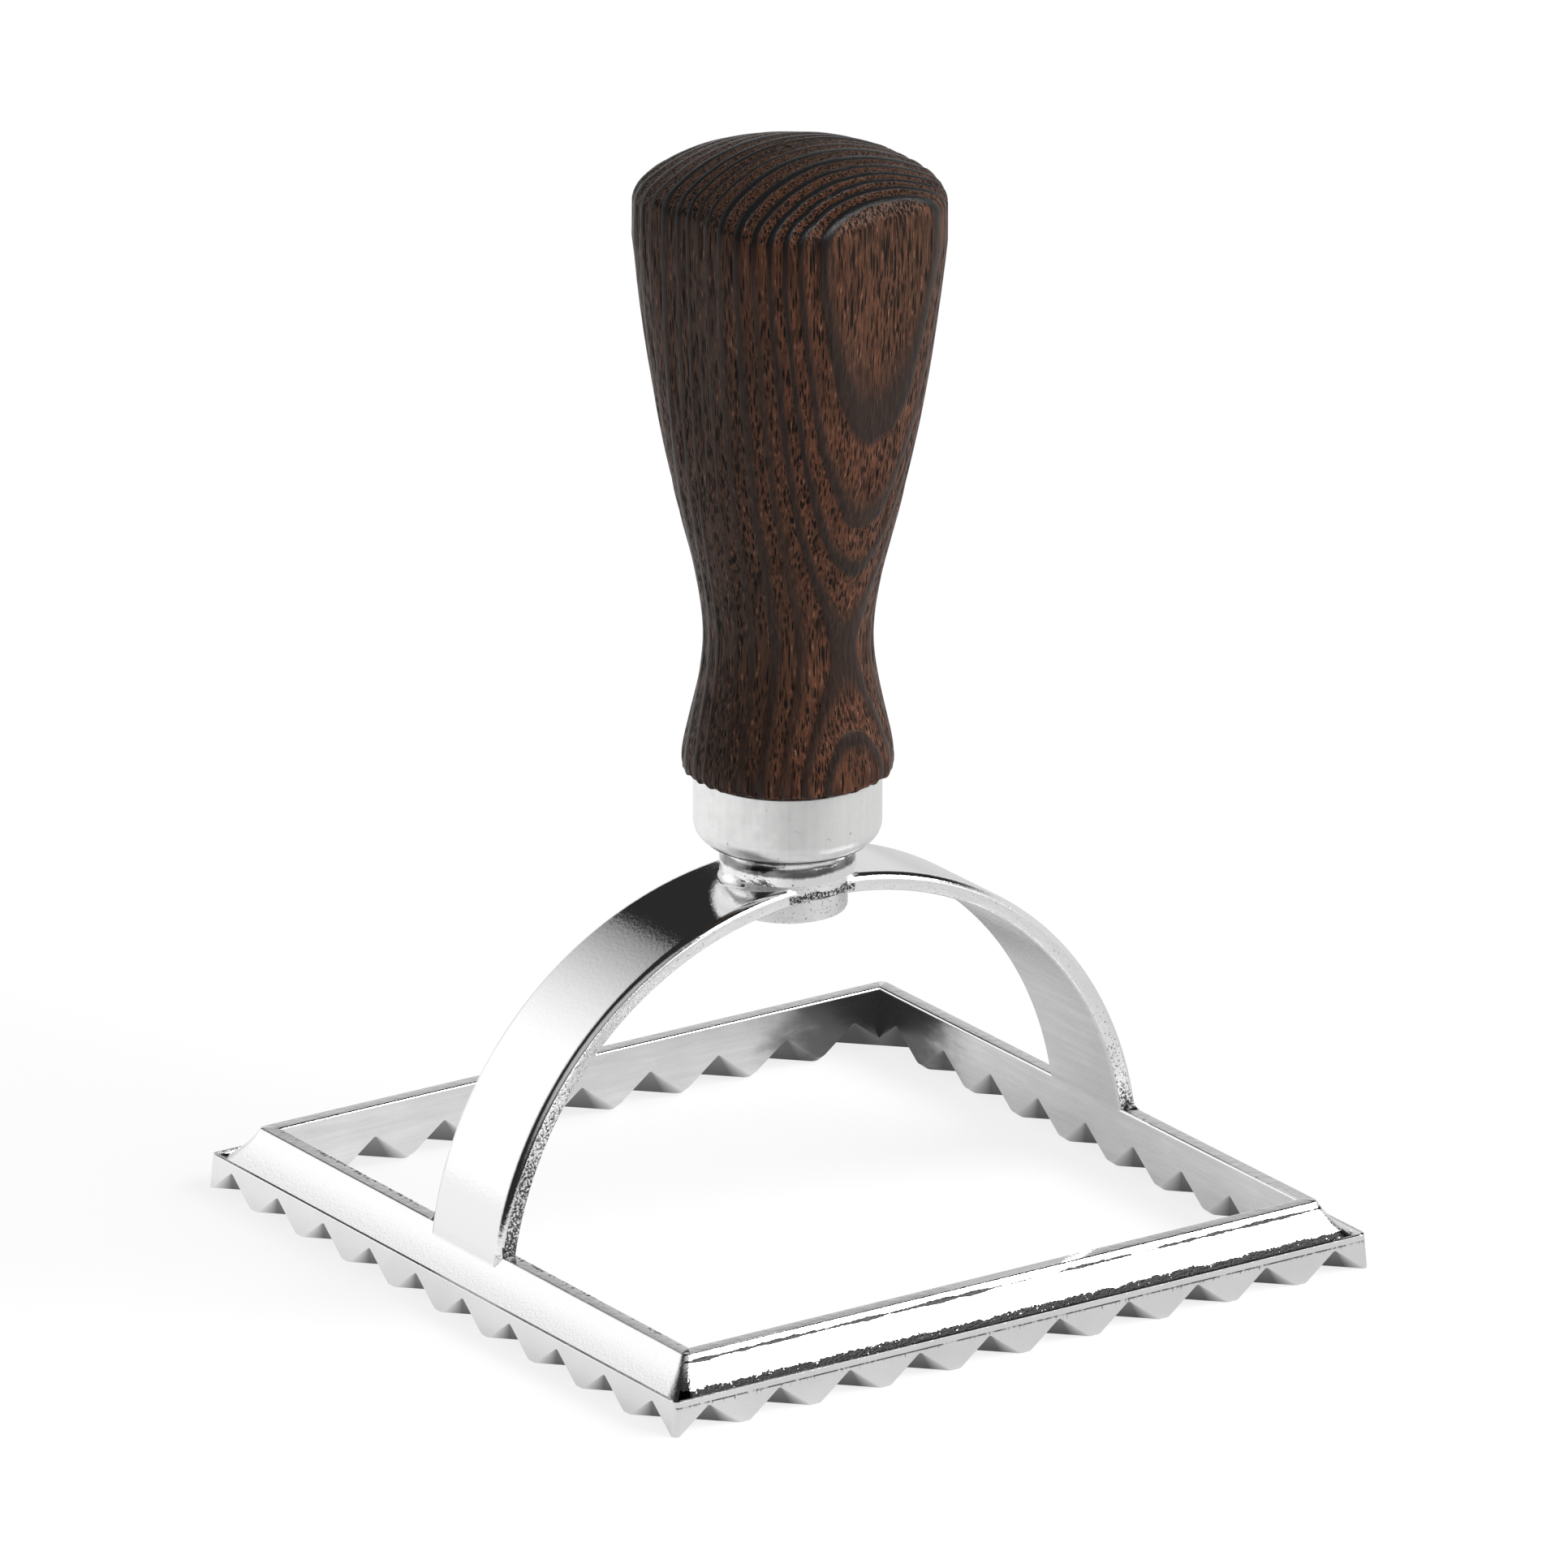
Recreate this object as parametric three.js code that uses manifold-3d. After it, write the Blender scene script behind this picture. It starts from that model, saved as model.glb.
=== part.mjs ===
// Ravioli stamp: a die-cast square cutter with an arch, a ferrule and a wooden handle.
// Millimetres, +Z up. The cutting edge lies on z = 0 and the handle stands on the Z axis.

import * as THREE from 'three';
import { ConvexGeometry } from 'three/addons/geometries/ConvexGeometry.js';
import { mergeVertices } from 'three/addons/utils/BufferGeometryUtils.js';
import Module from 'manifold-3d';

const wasm = await Module();
wasm.setup();

// Clearances between separate pieces
const seatGap = 0.3;
const fitGap = 0.3;

// Square cutting frame
const cutterSide = 75;
const frameHeight = 6;
const frameWidth = 4.75;
const landWidth = 1.5;
const wallDraft = 0.2;
const lipHeight = 3.25;
const lipWidth = 0.4;
const lipCrest = 0.24;
const lipRise = 0.3;
const coveEase = { topOut: 0.23, topDown: 0.36, toeIn: 0.4, toeUp: 0.12 };
const coveSteps = 7;

// Zigzag cutting edge, as grooves cut from below on both sides of the wall
const teethPerSide = 10;
const edgeLand = 0.7;
const tipFlat = 1;
const outerGrooveHeight = 2.5;
const innerGrooveHeight = 2.8;

// Arch over the frame
const archWidth = 11;
const archThickness = 2.2;
const archCrownThickness = 1.6;
const archFullness = 2.06;
const archOverhang = 0.95;
const archFootDepth = 2.5;
const archEdgeRadius = 0.35;
const archSteps = 40;

// Hub at the crown of the arch
const hubRise = 2.25;
const hubFlare = 1.5;
const hubStep = 0.7;
const bossWall = 1.7;
const bossDrop = 2.2;
const bossEdge = 0.3;

// Ferrule
const ferruleRadius = 8.45;
const ferruleHeight = 6.55;
const ferruleWall = 0.7;
const ferruleFloor = 0.9;
const ferruleEdgeRadius = 2.6;

// Handle: heights are measured up from its shoulder on the ferrule
const handleLength = 58.05;
const handleTurnDegrees = 8;
const shoulderRadius = 8.55;
const flareHeight = 1.45;
const flareRadius = 9.5;
const waistHeight = 12.9;
const waistRadius = 7.62;
const gripDrop = 8.45;
const gripHalf = 12.36;
const gripCornerRadius = 8.4;
const lowTaper = { along: 0.366, out: 0.523 };
const highTaper = { along: 0.625, out: 0.787 };
const crownRadius = 27;
const crownEdgeRadius = 2.4;
const tenonEdge = 1.6;
const handleSides = 48;

// Screw through the hub and the ferrule into the handle
const screwHeadRadius = 3.4;
const screwHeadHeight = 1.5;
const screwHeadDome = 0.5;
const screwSlotWidth = 0.9;
const screwSlotDepth = 1;
const screwShankRadius = 2;
const screwShankLength = 9;
const screwCoreRadius = 1.55;
const screwLength = 28;
const screwPointLength = 3.5;
const threadPitch = 2.2;
const threadWireRadius = 0.45;
const roundSides = 32;

// Heights and half widths that follow from the sizes
const outerHalf = cutterSide / 2;
const lipHalf = outerHalf - wallDraft;
const innerHalf = outerHalf - frameWidth;
const landHalf = innerHalf + landWidth;
const coveFootHalf = lipHalf - lipWidth;
const coveFootHeight = lipHeight - lipRise;
const archOuterRadius = landHalf + archOverhang;
const archInnerRadius = archOuterRadius - archThickness;
const archTop = archInnerRadius + archCrownThickness;
const hubTop = archTop + hubRise;
const bossRadius = screwHeadRadius + fitGap + bossWall;
const hubRadius = bossRadius + hubStep;
const bossBottom = archInnerRadius - bossDrop;
const ferruleBottom = hubTop + seatGap;
const ferruleTop = ferruleBottom + ferruleHeight;
const shoulderZ = ferruleTop + seatGap;
const handleTop = shoulderZ + handleLength;
const tenonRadius = ferruleRadius - ferruleWall - fitGap;
const tenonBottom = ferruleBottom + ferruleFloor + fitGap;
const screwHeadBottom = bossBottom + screwHeadDome;
const screwSeat = screwHeadBottom + screwHeadHeight;
const screwTip = screwSeat + screwLength;
const boreRadius = screwShankRadius + fitGap;
const counterboreRadius = screwHeadRadius + fitGap;
const counterboreTop = screwSeat + seatGap;
const pilotTop = screwTip + fitGap;
const threadStart = screwSeat + screwShankLength + threadPitch;
const threadEnd = screwTip - screwPointLength;
const gripHeight = handleLength - gripDrop;

function toSolid(geometry) {
  const bare = geometry.index ? geometry.toNonIndexed() : geometry.clone();
  for (const name of Object.keys(bare.attributes)) {
    if (name !== 'position') bare.deleteAttribute(name);
  }
  const merged = mergeVertices(bare, 1e-5);
  const index = merged.index.array;
  const kept = [];
  for (let i = 0; i < index.length; i += 3) {
    const [a, b, c] = [index[i], index[i + 1], index[i + 2]];
    if (a !== b && b !== c && c !== a) kept.push(a, b, c);
  }
  const vertProperties = new Float32Array(merged.attributes.position.array);
  const triVerts = new Uint32Array(kept);
  return new wasm.Manifold(new wasm.Mesh({ numProp: 3, vertProperties, triVerts }));
}

function toGeometry(solid) {
  const mesh = solid.getMesh();
  const geometry = new THREE.BufferGeometry();
  const positions = new Float32Array(mesh.vertProperties);
  geometry.setAttribute('position', new THREE.BufferAttribute(positions, 3));
  geometry.setIndex(new THREE.BufferAttribute(new Uint32Array(mesh.triVerts), 1));
  geometry.computeVertexNormals();
  return geometry;
}

// A profile of [radius, height] pairs turned about the Z axis
function turned(profile, sides = roundSides, start = 0) {
  const points = profile.map(([radius, height]) => new THREE.Vector2(radius, height));
  const geometry = new THREE.LatheGeometry(points, sides, start);
  geometry.rotateX(Math.PI / 2);
  return geometry;
}

function arcPoints(centreR, centreZ, radius, from, to, steps) {
  const points = [];
  for (let i = 0; i <= steps; i += 1) {
    const angle = from + ((to - from) * i) / steps;
    points.push([centreR + radius * Math.cos(angle), centreZ + radius * Math.sin(angle)]);
  }
  return points;
}

// Frame section: a straight inner wall, a flat land, a hollow cove, a raised lip and a drafted outer wall
function squareFrame() {
  const drop = frameHeight - coveFootHeight;
  const run = coveFootHalf - landHalf;
  const cove = new THREE.CubicBezierCurve(
    new THREE.Vector2(coveFootHalf, coveFootHeight),
    new THREE.Vector2(coveFootHalf - run * coveEase.toeIn, coveFootHeight + drop * coveEase.toeUp),
    new THREE.Vector2(landHalf + run * coveEase.topOut, frameHeight - drop * coveEase.topDown),
    new THREE.Vector2(landHalf, frameHeight),
  );
  const section = [
    [innerHalf, 0],
    [outerHalf, 0],
    [lipHalf, lipHeight],
    [lipHalf - lipCrest, lipHeight],
    ...cove.getPoints(coveSteps).map((point) => [point.x, point.y]),
    [innerHalf, frameHeight],
    [innerHalf, 0],
  ];
  const mitred = section.map(([half, height]) => [half * Math.SQRT2, height]);
  return toSolid(turned(mitred, 4, Math.PI / 4));
}

// One groove: a pointed wedge whose valley runs from the edge line up to the wall face
function groove(along, valleyStart, wallFace, height) {
  const overrun = 0.3;
  const undercut = 0.5;
  const wallHalf = Math.abs(wallFace - valleyStart);
  const outward = Math.sign(wallFace - valleyStart);
  const peakHeight = height * (1 + overrun);
  const peakReach = wallHalf * (1 + overrun);
  const spread = (peakHeight + undercut) / peakHeight;
  const peak = new THREE.Vector3(along, valleyStart + outward * peakReach, peakHeight);
  const corner = (x, y) => new THREE.Vector3(
    peak.x + (x - peak.x) * spread,
    peak.y + (y - peak.y) * spread,
    -undercut,
  );
  return toSolid(new ConvexGeometry([
    peak,
    corner(along, valleyStart),
    corner(along - peakReach, peak.y),
    corner(along + peakReach, peak.y),
  ]));
}

function edgeGrooves() {
  const pitch = cutterSide / teethPerSide;
  const outerValley = outerHalf - (pitch - tipFlat) / 2;
  const innerValley = outerValley - edgeLand * Math.SQRT2 + pitch / 2;
  const grooves = [];
  for (let tooth = 0; tooth < teethPerSide; tooth += 1) {
    const along = (tooth + 0.5) * pitch - outerHalf;
    grooves.push(groove(along, outerValley, outerHalf, outerGrooveHeight));
    if (tooth > 0) {
      grooves.push(groove(along - pitch / 2, innerValley, innerHalf, innerGrooveHeight));
    }
  }
  const side = wasm.Manifold.union(grooves);
  return wasm.Manifold.union([0, 90, 180, 270].map((turn) => side.rotate([0, 0, turn])));
}

// Half of an arch outline, from the right foot over the crown to the left one, a shade fuller than an ellipse
function archCurve(reach, rise) {
  const foot = Math.asin((frameHeight - archFootDepth) / rise);
  const points = [];
  for (let i = 0; i <= archSteps; i += 1) {
    const angle = foot + ((Math.PI - 2 * foot) * i) / archSteps;
    const [x, z] = [Math.cos(angle), Math.sin(angle)];
    const scale = (Math.abs(x) / reach) ** archFullness + (z / rise) ** archFullness;
    const radius = scale ** (-1 / archFullness);
    points.push(new THREE.Vector2(radius * x, radius * z));
  }
  return points;
}

// A band standing on the two rails that lie across the X axis
function archBand() {
  const outer = archCurve(archOuterRadius, archTop);
  const inner = archCurve(archInnerRadius, archInnerRadius).reverse();
  const band = new THREE.ExtrudeGeometry(new THREE.Shape([...outer, ...inner]), {
    depth: archWidth - 2 * archEdgeRadius,
    bevelEnabled: true,
    bevelThickness: archEdgeRadius,
    bevelSize: archEdgeRadius,
    bevelOffset: -archEdgeRadius,
    bevelSegments: 2,
  });
  band.translate(0, 0, archEdgeRadius - archWidth / 2);
  band.rotateX(Math.PI / 2);
  return toSolid(band);
}

function hubBody() {
  const flareCentre = hubRadius + hubFlare;
  return toSolid(turned([
    [0, bossBottom],
    [bossRadius - bossEdge, bossBottom],
    [bossRadius, bossBottom + bossEdge],
    [bossRadius, archInnerRadius],
    [hubRadius, archInnerRadius + (hubRadius - bossRadius)],
    ...arcPoints(flareCentre, hubTop - hubFlare, hubFlare, Math.PI, Math.PI / 2, 4),
    [0, hubTop],
  ]));
}

// Clearance hole for the screw with a recess for its head
function screwWay() {
  const past = 1;
  return toSolid(turned([
    [0, bossBottom - past],
    [counterboreRadius, bossBottom - past],
    [counterboreRadius, counterboreTop],
    [boreRadius, counterboreTop],
    [boreRadius, hubTop + past],
    [0, hubTop + past],
  ]));
}

function cutterCasting() {
  const frame = squareFrame().subtract(edgeGrooves());
  return toGeometry(frame.add(archBand()).add(hubBody()).subtract(screwWay()));
}

function ferrule() {
  const edge = Math.min(ferruleEdgeRadius, ferruleHeight - ferruleFloor);
  const insideRadius = ferruleRadius - ferruleWall;
  const insideEdge = Math.max(edge - ferruleWall, fitGap);
  const floorZ = ferruleBottom + ferruleFloor;
  return turned([
    [boreRadius, ferruleBottom],
    ...arcPoints(ferruleRadius - edge, ferruleBottom + edge, edge, -Math.PI / 2, 0, 6),
    [ferruleRadius, ferruleTop],
    [insideRadius, ferruleTop],
    ...arcPoints(insideRadius - insideEdge, floorZ + insideEdge, insideEdge, 0, -Math.PI / 2, 4),
    [boreRadius, floorZ],
    [boreRadius, ferruleBottom],
  ], handleSides);
}

function roundedSquareRadius(angle, half, corner) {
  const flat = half - corner;
  const x = Math.abs(Math.cos(angle));
  const y = Math.abs(Math.sin(angle));
  const major = Math.max(x, y);
  const minor = Math.min(x, y);
  if ((half * minor) / major <= flat) return half / major;
  const along = flat * (x + y);
  return along + Math.sqrt(along * along - 2 * flat * flat + corner * corner);
}

// The corner radius runs from a full circle at the waist to the grip's own corner radius
function cornerRadius(half, height) {
  const share = THREE.MathUtils.smoothstep(height, waistHeight, gripHeight);
  return THREE.MathUtils.lerp(half, Math.min(gripCornerRadius, half), share);
}

// Half width against height from the shoulder to the grip
function handleSide() {
  const taperPoint = ({ along, out }) => new THREE.Vector2(
    THREE.MathUtils.lerp(waistRadius, gripHalf, out),
    THREE.MathUtils.lerp(waistHeight, gripHeight, along),
  );
  const side = new THREE.SplineCurve([
    new THREE.Vector2(shoulderRadius, 0),
    new THREE.Vector2(flareRadius, flareHeight),
    new THREE.Vector2(waistRadius, waistHeight),
    taperPoint(lowTaper),
    taperPoint(highTaper),
    new THREE.Vector2(gripHalf, gripHeight),
  ]);
  return side.getPoints(20).map((point) => [point.x, shoulderZ + point.y]);
}

// Crown at one corner or face: a rolled edge of the given reach, then the dome in to the axis
function crownPoint(reach, step, edgeSteps, domeSteps) {
  const centreZ = handleTop - crownRadius;
  const edgeR = reach - crownEdgeRadius;
  const edgeRise = Math.sqrt((crownRadius - crownEdgeRadius) ** 2 - edgeR * edgeR);
  const meeting = Math.atan2(edgeRise, edgeR);
  if (step < edgeSteps) {
    const turn = (meeting * step) / (edgeSteps - 1);
    const z = centreZ + edgeRise + crownEdgeRadius * Math.sin(turn);
    return [edgeR + crownEdgeRadius * Math.cos(turn), z];
  }
  const left = 1 - (step - edgeSteps + 1) / domeSteps;
  const radius = left * crownRadius * Math.cos(meeting);
  return [radius, centreZ + Math.sqrt(crownRadius * crownRadius - radius * radius)];
}

// A turned blank whose upper rings are drawn out to a rounded square
function handle() {
  const edgeSteps = 4;
  const domeSteps = 5;
  const foot = [
    [0, pilotTop],
    [boreRadius, pilotTop - boreRadius],
    [boreRadius, tenonBottom],
    [tenonRadius - tenonEdge, tenonBottom],
    [tenonRadius, tenonBottom + tenonEdge],
    [tenonRadius, shoulderZ],
  ];
  const body = handleSide();
  const crown = Array(edgeSteps + domeSteps).fill([gripHalf, shoulderZ + gripHeight]);
  const rows = [...foot, ...body, ...crown];
  const geometry = turned(rows, handleSides);
  const position = geometry.attributes.position;
  for (let i = 0; i < position.count; i += 1) {
    const row = i % rows.length;
    if (row < foot.length) continue;
    const angle = (Math.floor(i / rows.length) / handleSides) * 2 * Math.PI - Math.PI / 2;
    const [half, height] = rows[row];
    const reach = roundedSquareRadius(angle, half, cornerRadius(half, height - shoulderZ));
    const step = row - foot.length - body.length;
    const [radius, z] = step < 0 ? [reach, height] : crownPoint(reach, step, edgeSteps, domeSteps);
    position.setXYZ(i, radius * Math.cos(angle), radius * Math.sin(angle), z);
  }
  geometry.rotateZ(THREE.MathUtils.degToRad(handleTurnDegrees));
  return toGeometry(toSolid(geometry));
}

class ThreadPath extends THREE.Curve {
  getPoint(share, target = new THREE.Vector3()) {
    const rise = share * (threadEnd - threadStart);
    const angle = (rise / threadPitch) * 2 * Math.PI;
    const x = screwCoreRadius * Math.cos(angle);
    const y = screwCoreRadius * Math.sin(angle);
    return target.set(x, y, threadStart + rise);
  }
}

function handleScrew() {
  const headLow = screwHeadBottom - screwHeadDome;
  const domeEdge = screwHeadRadius - screwHeadDome;
  const blank = toSolid(turned([
    [0, headLow],
    [domeEdge, screwHeadBottom - screwHeadDome / 2],
    [screwHeadRadius, screwHeadBottom],
    [screwHeadRadius, screwSeat],
    [screwShankRadius, screwSeat],
    [screwShankRadius, screwSeat + screwShankLength],
    [screwCoreRadius, threadStart],
    [screwCoreRadius, threadEnd],
    [0, screwTip],
  ], 20));
  const wire = new THREE.Shape();
  wire.absarc(0, 0, threadWireRadius, 0, 2 * Math.PI, false);
  const stepsPerTurn = 12;
  const thread = toSolid(new THREE.ExtrudeGeometry(wire, {
    extrudePath: new ThreadPath(),
    steps: Math.round(((threadEnd - threadStart) / threadPitch) * stepsPerTurn),
    curveSegments: 3,
    bevelEnabled: false,
  }));
  const slot = new THREE.BoxGeometry(4 * screwHeadRadius, screwSlotWidth, 2 * screwSlotDepth);
  slot.translate(0, 0, headLow);
  return toGeometry(blank.add(thread).subtract(toSolid(slot)));
}

const stamp = new THREE.Group();
stamp.name = 'ravioli_stamp';

function addPiece(name, geometry, color, roughness, metalness) {
  const material = new THREE.MeshStandardMaterial({ color, roughness, metalness });
  const mesh = new THREE.Mesh(geometry, material);
  mesh.name = name;
  stamp.add(mesh);
}

addPiece('cutter_casting', cutterCasting(), 0xd4d5d6, 0.18, 1);
addPiece('ferrule', ferrule(), 0xb9b9b8, 0.42, 1);
addPiece('wood_handle', handle(), 0x33231d, 0.55, 0);
addPiece('handle_screw', handleScrew(), 0xa9a9a6, 0.35, 1);

export default stamp;
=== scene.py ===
import math

import bmesh
import bpy
from mathutils import Matrix, Quaternion, Vector, noise


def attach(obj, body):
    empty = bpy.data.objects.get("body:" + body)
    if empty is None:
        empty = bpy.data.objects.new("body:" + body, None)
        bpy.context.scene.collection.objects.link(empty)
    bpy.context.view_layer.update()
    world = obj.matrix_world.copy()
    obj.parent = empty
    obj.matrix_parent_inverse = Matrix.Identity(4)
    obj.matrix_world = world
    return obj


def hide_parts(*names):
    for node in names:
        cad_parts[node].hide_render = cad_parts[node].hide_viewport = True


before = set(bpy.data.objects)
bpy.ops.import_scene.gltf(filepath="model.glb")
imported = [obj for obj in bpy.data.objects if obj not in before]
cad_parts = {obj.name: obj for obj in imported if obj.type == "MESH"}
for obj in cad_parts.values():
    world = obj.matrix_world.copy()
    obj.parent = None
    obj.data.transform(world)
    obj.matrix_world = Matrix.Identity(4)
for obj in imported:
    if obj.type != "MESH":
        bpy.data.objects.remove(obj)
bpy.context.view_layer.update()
mm = 0.001  # sizes below are in millimetres, meshes are in metres
scene = bpy.context.scene
scene.view_settings.view_transform = "Standard"
print("frame loaded:", ", ".join(sorted(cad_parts)))


# small mesh helpers

def at(x, y, z):
    return Vector((x, y, z)) * mm


def outline(bm, points, toSpace, rounding=()):
    # a flat closed outline; rounding is (indices, offset, segments)
    verts = [bm.verts.new(toSpace(a, b)) for a, b in points]
    bm.faces.new(verts)
    for indices, offset, segments in rounding:
        bmesh.ops.bevel(bm, geom=[verts[i] for i in indices], offset=offset * mm, offset_type="OFFSET",
                        segments=segments, profile=0.5, affect="VERTICES", clamp_overlap=True, material=-1)


def wire(bm, points, toSpace):
    verts = [bm.verts.new(toSpace(a, b)) for a, b in points]
    return verts, [bm.edges.new(pair) for pair in zip(verts, verts[1:])]


def lathe(bm, points, steps, height=0.0):
    # a profile of (radius, z) turned about the Z axis
    verts, edges = wire(bm, points, lambda r, z: at(r, 0, z + height))
    bmesh.ops.spin(bm, geom=verts + edges, cent=(0, 0, 0), axis=(0, 0, 1), angle=2 * math.pi,
                   steps=steps, use_merge=True, use_duplicate=False)
    bmesh.ops.remove_doubles(bm, verts=bm.verts, dist=0.001 * mm)


def arc(centreR, centreZ, radius, start, end, steps):
    turns = [math.radians(start + (end - start) * i / steps) for i in range(steps + 1)]
    return [(centreR + radius * math.cos(t), centreZ + radius * math.sin(t)) for t in turns]


def quarter(start, base, run, rise, step):
    # a quarter of an ellipse from (start, base), run inwards and rise upwards
    turns = [math.radians(a) for a in range(0, 91, step)]
    return [(start - run * math.sin(t), base + rise * (1 - math.cos(t))) for t in turns]


def vertsOf(geom):
    return [item for item in geom if isinstance(item, bmesh.types.BMVert)]


def edgesOf(geom):
    return [item for item in geom if isinstance(item, bmesh.types.BMEdge)]


def swivel(bm, verts, degrees, axis="Z"):
    bmesh.ops.rotate(bm, verts=verts, cent=(0, 0, 0), matrix=Matrix.Rotation(math.radians(degrees), 3, axis))


def drawOut(bm, vec):
    # a flat outline drawn out to a solid
    drawn = bmesh.ops.extrude_face_region(bm, geom=bm.faces[:])["geom"]
    bmesh.ops.translate(bm, verts=vertsOf(drawn), vec=vec)


def closeUp(bm, gap=0.001):
    bmesh.ops.remove_doubles(bm, verts=bm.verts, dist=gap * mm)
    openEdges = [edge for edge in bm.edges if edge.is_boundary]
    if openEdges:
        bmesh.ops.holes_fill(bm, edges=openEdges, sides=0)
    bmesh.ops.recalc_face_normals(bm, faces=bm.faces)


def toPiece(bm, name, materials):
    mesh = bpy.data.meshes.new(name)
    bm.to_mesh(mesh)
    bm.free()
    for material in materials:
        mesh.materials.append(material)
    piece = bpy.data.objects.new(name, mesh)
    scene.collection.objects.link(piece)
    return piece


def combine(body, tool, how):
    # one Boolean step, applied at once; the tool is used up
    step = body.modifiers.new("step", "BOOLEAN")
    step.operation = how
    step.solver = "EXACT"
    step.object = tool
    shaped = bpy.data.meshes.new_from_object(body.evaluated_get(bpy.context.evaluated_depsgraph_get()))
    body.modifiers.clear()
    old, used = body.data, tool.data
    body.data = shaped
    shaped.name = body.name
    bpy.data.objects.remove(tool)
    bpy.data.meshes.remove(used)
    bpy.data.meshes.remove(old)


def settleNormals(piece, degrees):
    # smooth faces, sharp creases, and normals led by the large faces
    mesh = piece.data
    mesh.shade_smooth()
    mesh.set_sharp_from_angle(angle=math.radians(degrees))
    weighted = piece.modifiers.new("weighted", "WEIGHTED_NORMAL")
    weighted.keep_sharp = True
    weighted.weight = 50


# small node helpers

def feed(node, inputs):
    # links what comes out of another node, sets all else
    for key, value in inputs.items():
        if isinstance(value, bpy.types.NodeSocket):
            node.id_data.links.new(value, node.inputs[key])
        else:
            node.inputs[key].default_value = value


def addNode(tree, kind, inputs=None, **settings):
    node = tree.nodes.new(kind)
    for name, value in settings.items():
        setattr(node, name, value)
    feed(node, inputs or {})
    return node


def maths(operation, *values):
    # at least one of the values comes out of a node, which says where the new node goes
    tree = next(value.id_data for value in values if isinstance(value, bpy.types.NodeSocket))
    return addNode(tree, "ShaderNodeMath", dict(enumerate(values)), operation=operation).outputs[0]


def remap(value, fromMin, fromMax, toMin=0.0, toMax=1.0, smooth=False):
    return addNode(value.id_data, "ShaderNodeMapRange", {
        "Value": value, "From Min": fromMin, "From Max": fromMax, "To Min": toMin, "To Max": toMax,
    }, interpolation_type="SMOOTHSTEP" if smooth else "LINEAR").outputs["Result"]


def product(first, *others):
    for value in others:
        first = maths("MULTIPLY", first, value)
    return first


def unsettled(value, wave, reach):
    # a place that a noise moves up and down, by up to half of reach in millimetres
    return maths("ADD", value, product(maths("SUBTRACT", wave, 0.5), reach * mm))


def between(value, low, high, soft):
    # 1 from low to high, all in millimetres, with soft ends
    return product(remap(value, (low - soft) * mm, (low + soft) * mm),
                   remap(value, (high + soft) * mm, (high - soft) * mm))


def mixColour(share, first, second):
    node = addNode(share.id_data, "ShaderNodeMix", {0: share, 6: first, 7: second}, data_type="RGBA")
    return node.outputs[2]


def mixValue(share, first, second):
    return addNode(share.id_data, "ShaderNodeMix", {0: share, 2: first, 3: second}).outputs[0]


def dot(direction, axis):
    return addNode(direction.id_data, "ShaderNodeVectorMath", {0: direction, 1: axis},
                   operation="DOT_PRODUCT").outputs["Value"]


def objectNoise(tree, scale, detail=2.0, roughness=0.5, shift=(0, 0, 0)):
    # scale is in cycles per millimetre, one for all axes or one each for x, y and z
    scales = scale if isinstance(scale, tuple) else (scale,) * 3
    coords = addNode(tree, "ShaderNodeTexCoord")
    placed = addNode(tree, "ShaderNodeMapping", {
        "Vector": coords.outputs["Object"], "Scale": tuple(s / mm for s in scales), "Location": shift})
    return addNode(tree, "ShaderNodeTexNoise", {
        "Vector": placed.outputs[0], "Scale": 1.0, "Detail": detail, "Roughness": roughness}).outputs["Fac"]


def place(tree):
    coords = addNode(tree, "ShaderNodeTexCoord").outputs["Object"]
    axes = addNode(tree, "ShaderNodeSeparateXYZ", {0: coords})
    return axes.outputs["X"], axes.outputs["Y"], axes.outputs["Z"]


def newMaterial(name, metallic=1.0):
    material = bpy.data.materials.new(name)
    material.use_nodes = True
    tree = material.node_tree
    shader = tree.nodes["Principled BSDF"]
    shader.inputs["Metallic"].default_value = metallic
    return material, tree, shader


def coat(shader, colour, roughness):
    feed(shader, {"Base Color": colour, "Roughness": roughness})


def addBump(shader, height, strength, depth):
    bump = addNode(shader.id_data, "ShaderNodeBump", {
        "Height": height, "Strength": strength, "Distance": depth * mm})
    feed(shader, {"Normal": bump.outputs[0]})


# camera at the photo's angle

cameraSetup = {
    "azimuth": -34.46, "elevation": 19.78, "roll": 0.21,
    "distance": 2000.0, "aim": (-0.4, 0.0, 42.28),
    "sensor": 36.0, "pixelsPerMm": 13.83, "pictureSide": 1932,
}


def addCamera():
    setup = cameraSetup
    azimuth, elevation = math.radians(setup["azimuth"]), math.radians(setup["elevation"])
    toCamera = Vector((math.sin(azimuth) * math.cos(elevation), -math.cos(azimuth) * math.cos(elevation),
                       math.sin(elevation)))
    data = bpy.data.cameras.new("photoCamera")
    data.sensor_width = setup["sensor"]
    data.lens = setup["pixelsPerMm"] * setup["distance"] / setup["pictureSide"] * setup["sensor"]
    data.clip_start, data.clip_end = 0.05, 20.0
    camera = bpy.data.objects.new("photoCamera", data)
    camera.location = at(*setup["aim"]) + toCamera * setup["distance"] * mm
    roll = Quaternion((0, 0, 1), math.radians(setup["roll"]))
    camera.rotation_euler = (toCamera.to_track_quat("Z", "Y") @ roll).to_euler()
    scene.collection.objects.link(camera)
    scene.camera = camera
    print("camera: lens", round(data.lens, 1))


# studio: white floor, one large softbox, and a studio that the metal mirrors; the floor it mirrors glows with
# painted shade

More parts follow.
